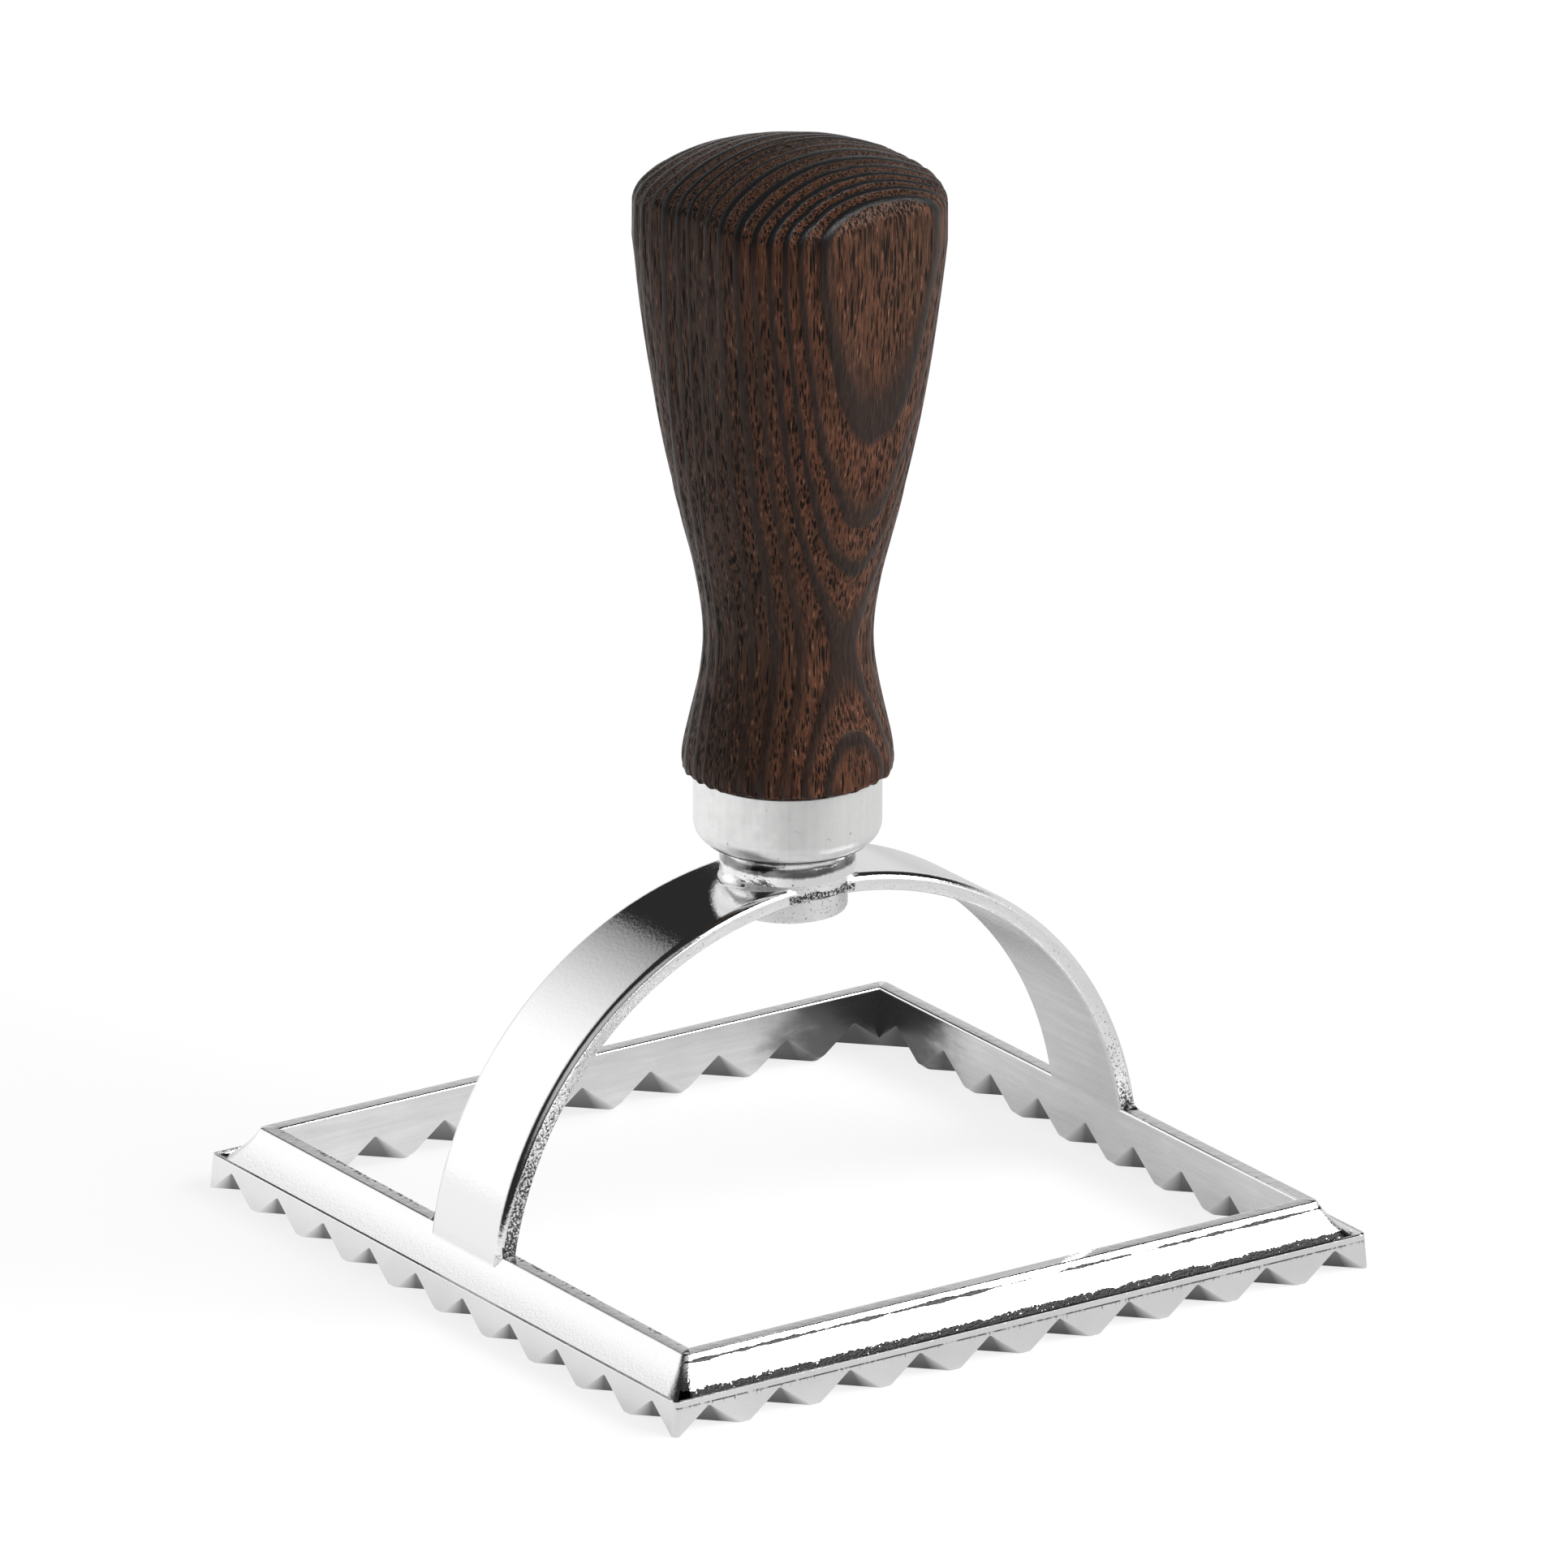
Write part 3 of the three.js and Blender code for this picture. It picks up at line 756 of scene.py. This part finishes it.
def archBand():
    shape = archShape
    bm = bmesh.new()
    halfWidth = shape["width"] / 2
    low, high = shape["inner"][0], shape["outer"][0]
    points = [(low, -halfWidth), (high, -halfWidth), (high, halfWidth), (low, halfWidth)]
    outline(bm, points, lambda r, y: at(r, y, 0),
            (((0, 3), shape["innerEdge"], 4), ((1, 2), shape["outerEdge"], 8)))
    footTurn = math.radians(shape["footAngle"])
    swivel(bm, bm.verts, -shape["footAngle"], "Y")
    bmesh.ops.delete(bm, geom=bm.faces[:], context="FACES_ONLY")
    bmesh.ops.spin(bm, geom=bm.verts[:] + bm.edges[:], cent=(0, 0, 0), axis=(0, -1, 0),
                   angle=math.pi - 2 * footTurn, steps=shape["steps"], use_merge=False, use_duplicate=False)
    for vert in bm.verts:  # from the round ring to the flatter arch
        x, y, z = vert.co / mm
        turn, share = math.atan2(z, x), (math.hypot(x, z) - low) / (high - low)
        reach = bandReach(turn, "inner") * (1 - share) + bandReach(turn, "outer") * share
        vert.co = at(reach * math.cos(turn), y, reach * math.sin(turn))
    closeUp(bm)
    return bm


def hubBody():
    shape = hubShape
    bm = bmesh.new()
    flare = arc(*shape["flareCentre"], shape["flareRadius"], 180, shape["flareEnd"], 10)
    lathe(bm, list(shape["profile"]) + flare + list(shape["seat"]), shape["steps"])
    closeUp(bm)
    return bm


def smallFillets():
    # soft corners where the hub stands on the band and where the band stands on the rails
    bm = bmesh.new()
    shape = hubShape
    neck, base, rise = shape["profile"][-1][0], shape["collarBase"], shape["collarHeight"]
    inner, run = neck - shape["collarInset"], shape["collarReach"] - neck
    sweep = quarter(shape["collarReach"], base + shape["collarLip"], run, rise, 10)
    lathe(bm, [(inner, base), (shape["collarReach"], base)] + sweep + [(inner, sweep[-1][1]), (inner, base)],
          shape["steps"])
    bmesh.ops.scale(bm, verts=bm.verts, vec=(1, shape["collarNarrow"], 1))  # it runs out at the band's edges
    closeUp(bm)
    foot = archShape
    radius, edge = foot["footRadius"], foot["width"] / 2
    inner = edge - foot["footInset"]
    low, high = foot["footBase"], frameShape["height"]
    curve = quarter(edge + radius, high, radius, radius, 15)
    points = [(inner, low), (edge + radius, low)] + curve + [(inner, high + radius)]
    for signX in (1, -1):
        for signY in (1, -1):
            foot3d = bmesh.new()
            outline(foot3d, points, lambda y, z: at(signX * foot["footSpan"][0], signY * y, z))
            drawOut(foot3d, at(signX * (foot["footSpan"][1] - foot["footSpan"][0]), 0, 0))
            closeUp(foot3d)
            spare = bpy.data.meshes.new("foot")
            foot3d.to_mesh(spare)
            foot3d.free()
            bm.from_mesh(spare)
            bpy.data.meshes.remove(spare)
    return bm


def screwWay():
    shape = hubShape
    bm = bmesh.new()
    low, top = shape["profile"][0][1] - 1, shape["seat"][-1][1] + 1
    lathe(bm, [(0, low), (shape["recessRadius"], low), (shape["recessRadius"], shape["recessTop"]),
               (shape["boreRadius"], shape["recessTop"]), (shape["boreRadius"], top), (0, top)], 64)
    closeUp(bm)
    return bm


def markFace(bm, index):
    for face in bm.faces:
        face.material_index = index
    return bm


def finishOf(centre, normal):
    # 0 bright, 2 rough arch sides, 3 hub skin, 4 outer walls, 5 inner walls, 6 land, 7 cove, 9 hub's neck
    x, y, z = (value / mm for value in centre)
    halfWidth = archShape["width"] / 2
    limits, fromAxis = finishLimits, math.hypot(x, y)
    height, reach = frameShape["height"], max(abs(x), abs(y))
    if fromAxis < limits["hubReach"] and z > archShape["outer"][1]:
        return 9 if z > limits["neckBase"] or fromAxis < limits["neckReach"] else 0
    if fromAxis < limits["neckReach"] and z > limits["bossBase"]:
        return 3
    if z > height + 0.1 and abs(y) > halfWidth - 0.05:
        return 2 if abs(normal.y) > 0.85 or z < height + 0.1 + archShape["footRadius"] else 0
    under = math.hypot(x, z) < bandReach(math.atan2(z, x), "inner") + 0.15
    if z > limits["bandBase"] and abs(y) < halfWidth and under:
        return 5
    if z < height - 0.3 and reach < frameShape["innerHalf"] + 0.05:
        return 5
    if z < frameShape["lipHeight"] - 0.1 and abs(normal.z) < 0.3:
        return 4
    if normal.z > 0.9 and abs(z - height) < 0.1:
        return 6
    if frameShape["coveFoot"][1] - 0.05 < z < height and reach > frameShape["landHalf"] - 0.1:
        return 7
    return 0


def makeCasting():
    grooves, half, inside = zigzag, frameShape["outerHalf"], frameShape["innerHalf"]
    finishes = [
        brightPlate("brightPlate", 0.24, 2.4, 0.014),
        groovePlate("outerGroove", half, half - grooves["outerValley"], grooves["outerHeight"]),
        gritty("archSkin", 0.50, 0.28, 0.24, ease=(13, 27)),
        gritty("hubSkin", 0.37, 0.28, 0.09, flash=(32.9, 33.9)),
        wallPlate(),
        innerPlate(),
        brightPlate("landPlate", 0.27, 1.2, 0.012, edge=landPits),
        brightPlate("covePlate", 0.25, 4.2, 0.036, cove=coveShadeMarks),
        groovePlate("innerGroove", inside, grooves["innerValley"] - inside, grooves["innerHeight"]),
        neckPlate(),
    ]
    casting = toPiece(squareFrame(), "platedCasting", finishes)
    for bm in (archBand(), hubBody(), smallFillets()):
        combine(casting, toPiece(bm, "joined", finishes), "UNION")
    bmOuter = bmesh.new()
    outerGrooves(bmOuter)
    turnedCopies(bmOuter, (90, 180, 270))
    combine(casting, toPiece(markFace(bmOuter, 1), "outerCut", finishes), "DIFFERENCE")
    for start in (0, 90):
        bmInner = bmesh.new()
        innerGrooves(bmInner)
        turnedCopies(bmInner, (180,))
        swivel(bmInner, bmInner.verts, start)
        combine(casting, toPiece(markFace(bmInner, 8), "innerCut", finishes), "DIFFERENCE")
    combine(casting, toPiece(markFace(screwWay(), 1), "bore", finishes), "DIFFERENCE")
    bm = bmesh.new()
    bm.from_mesh(casting.data)
    bmesh.ops.remove_doubles(bm, verts=bm.verts, dist=0.0015 * mm)
    bmesh.ops.dissolve_degenerate(bm, edges=bm.edges, dist=0.001 * mm)
    for face in bm.faces:
        if face.material_index == 0:
            face.material_index = finishOf(face.calc_center_median(), face.normal)
    openEdges = sum(1 for edge in bm.edges if not edge.is_manifold)
    print("casting:", len(bm.faces), "faces,", openEdges, "open edges")
    bm.to_mesh(casting.data)
    bm.free()
    settleNormals(casting, 32)
    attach(casting, "root")
    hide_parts("cutter_casting")


# ferrule

ferruleShape = {
    "bottom": 37.15, "top": 43.7, "radius": 8.45, "wall": 0.7, "floor": 0.9, "edge": 1.9,
    "bore": 2.3, "rim": 0.15, "steps": 144,
}


ferruleTones = {
    "dull": (0.80, 0.80, 0.795, 1), "satin": (0.88, 0.88, 0.875, 1), "worn": (0.92, 0.92, 0.915, 1),
    "pit": (0.36, 0.36, 0.36, 1),
}


def satinFerrule():
    material, tree, shader = newMaterial("satinFerrule")
    drawn = objectNoise(tree, (1.8, 1.8, 0.10), detail=4, roughness=0.6)
    mottle = objectNoise(tree, 0.9, detail=6, roughness=0.7)
    pits = objectNoise(tree, 2.2, detail=3, shift=(7, 3, 1))
    colour = mixColour(remap(drawn, 0.3, 0.7), ferruleTones["dull"], ferruleTones["satin"])
    colour = mixColour(remap(mottle, 0.35, 0.65, 0.0, 0.5), colour, ferruleTones["worn"])
    colour = mixColour(remap(pits, 0.70, 0.76, 0.0, 0.8), colour, ferruleTones["pit"])
    coat(shader, colour, remap(mottle, 0.3, 0.7, 0.44, 0.34))
    height = maths("ADD", product(drawn, 0.4), mottle)
    addBump(shader, maths("SUBTRACT", height, remap(pits, 0.68, 0.76)), 0.35, 0.03)
    return material


def makeFerrule():
    shape = ferruleShape
    bottom, radius, edge, rim = shape["bottom"], shape["radius"], shape["edge"], shape["rim"]
    inside, insideEdge = radius - shape["wall"], edge - shape["wall"]
    floorZ = bottom + shape["floor"]
    profile = [(shape["bore"], bottom)]
    profile += arc(radius - edge, bottom + edge, edge, -90, 0, 14)
    profile += arc(radius - rim, shape["top"] - rim, rim, 0, 90, 3)
    profile += arc(inside + rim, shape["top"] - rim, rim, 90, 180, 3)
    profile += arc(inside - insideEdge, floorZ + insideEdge, insideEdge, 0, -90, 8)
    profile += [(shape["bore"], floorZ), (shape["bore"], bottom)]
    bm = bmesh.new()
    lathe(bm, profile, shape["steps"])
    closeUp(bm)
    ferrule = toPiece(bm, "satinFerrule", [satinFerrule()])
    settleNormals(ferrule, 35)
    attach(ferrule, "root")
    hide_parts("ferrule")
    print("ferrule done")


# wooden handle

handleShape = {
    "shoulder": 44.0, "turn": 8.0, "top": 102.05,
    "side": ((8.55, 0), (9.5, 1.45), (7.62, 12.9), (10.1, 26.35), (11.35, 35.84), (12.36, 49.6)),
    "waistHeight": 12.9, "gripHeight": 49.6, "cornerRadius": 8.4,
    "crownRadius": 27.0, "crownEdge": 2.4, "edgeRows": 9, "domeRows": 46,
    "rowsPerSpan": 20, "around": 480,
    "foot": ((0, 61.1), (2.3, 58.8), (2.3, 38.35), (5.85, 38.35), (7.45, 39.95), (7.45, 43.82)),
    "footOuter": (8.4, 43.8), "ragged": 0.30,
}

growth = {
    "pith": (6.0, -39.12), "ringWidth": 1.5, "wander": 1.6, "wanderScale": (0.03, 0.012),
    "uneven": 0.6, "unevenScale": 0.37, "ripple": 0.07, "rippleScale": (0.5, 0.12),
    "yearTurn": 2.3, "yearSpread": 7.7, "yearShift": 10.0, "faintest": 0.35,
    "lateFrom": 0.50, "lateTo": 0.82, "lateEnd": 0.07, "relief": 0.06, "endRelief": 0.10, "grooves": 0.12,
    "endGrainFrom": (95.0, 98.5), "redAndPaintedLightSide": (-3.0, -9.0),
}

woodTones = {
    "early": ((0.026, 0.012, 0.007, 1), (0.092, 0.038, 0.021, 1)),
    "redAndPaintedLight": ((0.050, 0.017, 0.009, 1), (0.165, 0.058, 0.028, 1)),
    "late": ((0.010, 0.0075, 0.0065, 1), (0.028, 0.017, 0.013, 1)),
    "patch": (0.040, 0.023, 0.013, 1), "fleck": (0.19, 0.088, 0.050, 1),
    "endGrain": (0.009, 0.009, 0.0095, 1), "pore": (0.0055, 0.0038, 0.0032, 1), "specular": 0.14,
}


def alongSide(points, rows):
    # Catmull-Rom through the side points
    result = []
    last = len(points) - 1
    for i in range(last):
        a, b = points[max(i - 1, 0)], points[i]
        c, d = points[i + 1], points[min(i + 2, last)]
        for j in range(rows + (i == last - 1)):
            t = j / rows
            pair = []
            for k in range(2):
                v0, v1 = (c[k] - a[k]) / 2, (d[k] - b[k]) / 2
                pair.append((2 * b[k] - 2 * c[k] + v0 + v1) * t ** 3
                            + (-3 * b[k] + 3 * c[k] - 2 * v0 - v1) * t * t + v0 * t + b[k])
            result.append(tuple(pair))
    return result


def squareReach(angle, half, corner):
    flat = half - corner
    x, y = abs(math.cos(angle)), abs(math.sin(angle))
    if half * min(x, y) / max(x, y) <= flat:
        return half / max(x, y)
    along = flat * (x + y)
    return along + math.sqrt(along * along - 2 * flat * flat + corner * corner)


def cornerAt(half, height):
    shape = handleShape
    share = (height - shape["waistHeight"]) / (shape["gripHeight"] - shape["waistHeight"])
    share = min(max(share, 0), 1)
    share = share * share * (3 - 2 * share)
    return half + (min(shape["cornerRadius"], half) - half) * share


def crownPoint(reach, step):
    shape = handleShape
    dome, edge = shape["crownRadius"], shape["crownEdge"]
    centreZ = shape["top"] - dome
    edgeR = reach - edge
    edgeRise = math.sqrt((dome - edge) ** 2 - edgeR * edgeR)
    meeting = math.atan2(edgeRise, edgeR)
    if step < shape["edgeRows"]:
        turn = meeting * (step + 1) / shape["edgeRows"]
        return edgeR + edge * math.cos(turn), centreZ + edgeRise + edge * math.sin(turn)
    left = 1 - (step - shape["edgeRows"] + 1) / shape["domeRows"]
    radius = left * dome * math.cos(meeting)
    return radius, centreZ + math.sqrt(dome ** 2 - radius * radius)


def grainNoise(point, across, along, shift=0.0):
    # a noise that is drawn out along the grain
    return noise.noise(Vector((point.x * across, point.y * across, point.z * along + shift)))


def ringsAt(point):
    # number of growth rings from the pith to a point in millimetres
    wander, (across, along) = growth["wander"], growth["wanderScale"]
    spot = Vector((point.x * across, point.y * across, point.z * along))
    x = point.x - growth["pith"][0] + wander * noise.noise(spot)
    y = point.y - growth["pith"][1] + wander * noise.noise(spot + Vector((19.3, 7.1, 3.7)))
    reach = math.hypot(x, y) / growth["ringWidth"]
    reach += growth["ripple"] * grainNoise(point, *growth["rippleScale"])
    return reach + growth["uneven"] * noise.noise(Vector((reach * growth["unevenScale"], 4.2, 1.3)))


def lateShare(rings):
    # 0 in the open early wood, up to 1 in the dense late wood; some years are fainter than others
    part = rings - math.floor(rings)
    year = math.sin(math.floor(rings) * growth["yearTurn"]) * growth["yearSpread"] + growth["yearShift"]
    strength = growth["faintest"] + (1 - growth["faintest"]) * (year % 1)
    if part < growth["lateEnd"]:
        return strength * (1 - part / growth["lateEnd"])
    share = min(max((part - growth["lateFrom"]) / (growth["lateTo"] - growth["lateFrom"]), 0), 1)
    return strength * share * share * (3 - 2 * share)


def grooveAt(point):
    # long narrow furrows along the grain, with short ones among them
    depth = grainNoise(point, 1.5, 0.08) * 1.6 + grainNoise(point, 2.6, 0.3, 7) * 0.7
    return min(max(depth - 0.15, 0), 1)


def meshValue(tree, name):
    return addNode(tree, "ShaderNodeAttribute", attribute_name=name, attribute_type="GEOMETRY").outputs["Fac"]


def darkWood():
    material, tree, shader = newMaterial("darkWood", metallic=0.0)
    tones = woodTones
    rings, furrow = meshValue(tree, "rings"), meshValue(tree, "furrow")
    part = maths("FRACT", rings)
    year = product(maths("SINE", product(maths("FLOOR", rings), growth["yearTurn"])), growth["yearSpread"])
    year = maths("FRACT", maths("ADD", year, growth["yearShift"]))
    late = maths("MAXIMUM", remap(part, growth["lateEnd"], 0.0),
                 remap(part, growth["lateFrom"], growth["lateTo"], smooth=True))
    late = product(late, remap(year, 0.0, 1.0, growth["faintest"], 1.0))
    _, y, z = place(tree)
    top = remap(z, *(height * mm for height in growth["endGrainFrom"]), smooth=True)
    late = mixValue(top, late, remap(late, 0.08, 0.5))
    # the -Y side redder and lighter: partly the wood's own tone, partly painted light for the side that faces
    # the softbox
    redAndPaintedLight = remap(y, *(reach * mm for reach in growth["redAndPaintedLightSide"]), smooth=True)
    coords = addNode(tree, "ShaderNodeTexCoord").outputs["Object"]

    def vessels(width, length, size, soft, shift):
        # long cells along the grain; 1 inside a cell's core
        placed = addNode(tree, "ShaderNodeMapping", {
            "Vector": coords, "Location": shift,
            "Scale": (1 / (width * mm), 1 / (width * mm), 1 / (length * mm))})
        cells = addNode(tree, "ShaderNodeTexVoronoi", {
            "Vector": placed.outputs[0], "Scale": 1.0, "Randomness": 1.0}, feature="F1")
        return remap(cells.outputs["Distance"], size + soft, size - soft)

    large = vessels(0.27, 4.2, 0.31, 0.06, (0, 0, 0))
    small = vessels(0.18, 2.2, 0.33, 0.08, (3.3, 1.7, 5.1))
    fleck = vessels(0.40, 1.5, 0.24, 0.08, (8.1, 2.9, 0.7))
    ends = product(vessels(0.42, 4.0, 0.34, 0.07, (1.2, 2.4, 3.1)), top)
    openWood = remap(late, 0.1, 0.7, 1.0, 0.0)
    gather = objectNoise(tree, (0.35, 0.35, 0.06), detail=2, shift=(2, 5, 1))
    pores = maths("MAXIMUM", product(maths("MAXIMUM", large, ends), openWood),
                  product(small, remap(gather, 0.35, 0.6, 0.35, 1.0), remap(late, 0.2, 0.9, 1.0, 0.12)))
    fibre = objectNoise(tree, (4.2, 4.2, 0.30), detail=4, roughness=0.65)
    patch = objectNoise(tree, (0.09, 0.09, 0.035), detail=2)
    early = mixColour(remap(fibre, 0.32, 0.68), *tones["early"])
    early = mixColour(product(redAndPaintedLight, 0.6), early, mixColour(remap(fibre, 0.35, 0.65), *tones["redAndPaintedLight"]))
    early = mixColour(remap(patch, 0.35, 0.65, 0.0, 0.5), early, tones["patch"])
    early = mixColour(product(fleck, remap(fibre, 0.42, 0.62)), early, tones["fleck"])
    dense = mixColour(remap(fibre, 0.35, 0.65), *tones["late"])
    dense = mixColour(top, dense, tones["endGrain"])
    colour = mixColour(late, early, dense)
    colour = mixColour(maths("MAXIMUM", pores, product(furrow, 0.75)), colour, tones["pore"])
    coat(shader, colour, maths("ADD", remap(late, 0.0, 1.0, 0.46, 0.30), product(pores, 0.3)))
    shader.inputs["Specular IOR Level"].default_value = tones["specular"]
    height = maths("ADD", product(fibre, 0.45), product(late, 0.25))
    addBump(shader, maths("SUBTRACT", height, pores), 0.9, 0.11)
    return material


def makeHandle():
    shape = handleShape
    side = alongSide(shape["side"], shape["rowsPerSpan"])
    grip = shape["side"][-1]
    crownRows = shape["edgeRows"] + shape["domeRows"]
    bm = bmesh.new()
    profile = list(shape["foot"]) + [shape["footOuter"]]
    profile += [(half, shape["shoulder"] + height) for half, height in side]
    gripZ = shape["shoulder"] + grip[1]
    profile += [(grip[0], gripZ + step + 1) for step in range(crownRows)]  # 1 mm a row, shaped below
    lathe(bm, profile, shape["around"])
    for vert in bm.verts:
        x, y, z = vert.co / mm
        radius, angle = math.hypot(x, y), math.atan2(y, x)
        if z < shape["shoulder"] - 0.01 or radius < 2.5:
            continue
        if z <= gripZ + 0.5:
            reach = squareReach(angle, radius, cornerAt(radius, z - shape["shoulder"]))
            vert.co = at(reach * math.cos(angle), reach * math.sin(angle), z)
        else:
            reach = squareReach(angle, grip[0], cornerAt(grip[0], grip[1]))
            radius, height = crownPoint(reach, round(z - gripZ) - 1)
            vert.co = at(radius * math.cos(angle), radius * math.sin(angle), height)
    swivel(bm, bm.verts, shape["turn"])
    closeUp(bm)
    bm.normal_update()
    rings = bm.verts.layers.float.new("rings")
    furrow = bm.verts.layers.float.new("furrow")
    moves = []
    for vert in bm.verts:
        spot = vert.co / mm
        count = ringsAt(spot)
        vert[rings] = count
        if spot.z > shape["shoulder"] + 0.3 and math.hypot(spot.x, spot.y) > 0.001:
            late = lateShare(count)
            up = max(vert.normal.z, 0)
            vert[furrow] = grooveAt(spot) * (1 - late) * (1 - up)
            depth = (growth["relief"] + growth["endRelief"] * up) * (1 - late)
            depth += growth["grooves"] * vert[furrow]
            moves.append((vert, vert.normal * -depth * mm))
        elif spot.z > shape["shoulder"] - 0.5 and math.hypot(spot.x, spot.y) > shape["footOuter"][0] - 0.2:
            chip = noise.noise(Vector((spot.x * 1.3, spot.y * 1.3, 2.0))) * shape["ragged"]
            moves.append((vert, at(0, 0, chip)))
    for vert, move in moves:
        vert.co += move
    handle = toPiece(bm, "woodHandle", [darkWood()])
    handle.data.shade_smooth()
    handle.data.set_sharp_from_angle(angle=math.radians(50))
    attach(handle, "root")
    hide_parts("wood_handle")
    print("handle:", len(handle.data.polygons), "faces")


# screw under the hub

screwShape = {
    "headBottom": 30.8, "headRadius": 3.4, "dome": 0.5, "seat": 32.8, "shankRadius": 2.0, "shankTop": 41.8,
    "coreRadius": 1.55, "threadStart": 44.0, "threadEnd": 57.3, "tip": 60.8,
    "pitch": 2.2, "wireRadius": 0.45, "slotWidth": 0.9, "slotDepth": 1.0, "edge": 0.12,
    "steps": 64, "threadSteps": 24,
}


zincTones = {"dull": (0.50, 0.50, 0.49, 1), "bright": (0.66, 0.66, 0.64, 1)}


def zincSteel():
    material, tree, shader = newMaterial("zincSteel")
    cloud = objectNoise(tree, 0.8, detail=4)
    scratch = objectNoise(tree, (4.0, 0.6, 4.0), detail=3)
    coat(shader, mixColour(remap(cloud, 0.3, 0.7), zincTones["dull"], zincTones["bright"]),
         remap(scratch, 0.3, 0.7, 0.24, 0.40))
    addBump(shader, scratch, 0.25, 0.02)
    return material


def makeScrew():
    shape = screwShape
    steel = zincSteel()
    low, radius = shape["headBottom"], shape["headRadius"]
    bm = bmesh.new()
    edge = shape["edge"]
    profile = quarter(0, low, -radius, shape["dome"], 9)
    profile += arc(radius - edge, shape["seat"] - edge, edge, 0, 90, 3)
    profile += [(shape["shankRadius"], shape["seat"]), (shape["shankRadius"], shape["shankTop"]),
                (shape["coreRadius"], shape["threadStart"]), (shape["coreRadius"], shape["threadEnd"]),
                (0, shape["tip"])]
    lathe(bm, profile, shape["steps"])
    closeUp(bm)
    screw = toPiece(bm, "handleScrew", [steel])

    thread = bmesh.new()
    bmesh.ops.create_circle(thread, cap_ends=False, segments=10, radius=shape["wireRadius"] * mm)
    swivel(thread, thread.verts, 90, "X")
    bmesh.ops.translate(thread, verts=thread.verts, vec=at(shape["coreRadius"], 0, shape["threadStart"]))
    turns = (shape["threadEnd"] - shape["threadStart"]) / shape["pitch"]
    steps = round(turns * shape["threadSteps"])
    bmesh.ops.spin(thread, geom=thread.verts[:] + thread.edges[:], cent=(0, 0, 0), axis=(0, 0, 1),
                   dvec=at(0, 0, shape["pitch"] * turns / steps), angle=2 * math.pi * turns, steps=steps,
                   use_merge=False, use_duplicate=False)
    closeUp(thread)
    combine(screw, toPiece(thread, "thread", [steel]), "UNION")

    slot = bmesh.new()
    bmesh.ops.create_cube(slot, size=1.0)
    bmesh.ops.scale(slot, verts=slot.verts,
                    vec=at(4 * radius, shape["slotWidth"], 2 * shape["slotDepth"]))
    bmesh.ops.translate(slot, verts=slot.verts, vec=at(0, 0, low))
    combine(screw, toPiece(slot, "slot", [steel]), "DIFFERENCE")
    settleNormals(screw, 35)
    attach(screw, "root")
    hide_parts("handle_screw")
    print("screw done")


addCamera()
addFloor()
addSoftbox()
addWorld()
makeCasting()
makeFerrule()
makeHandle()
makeScrew()
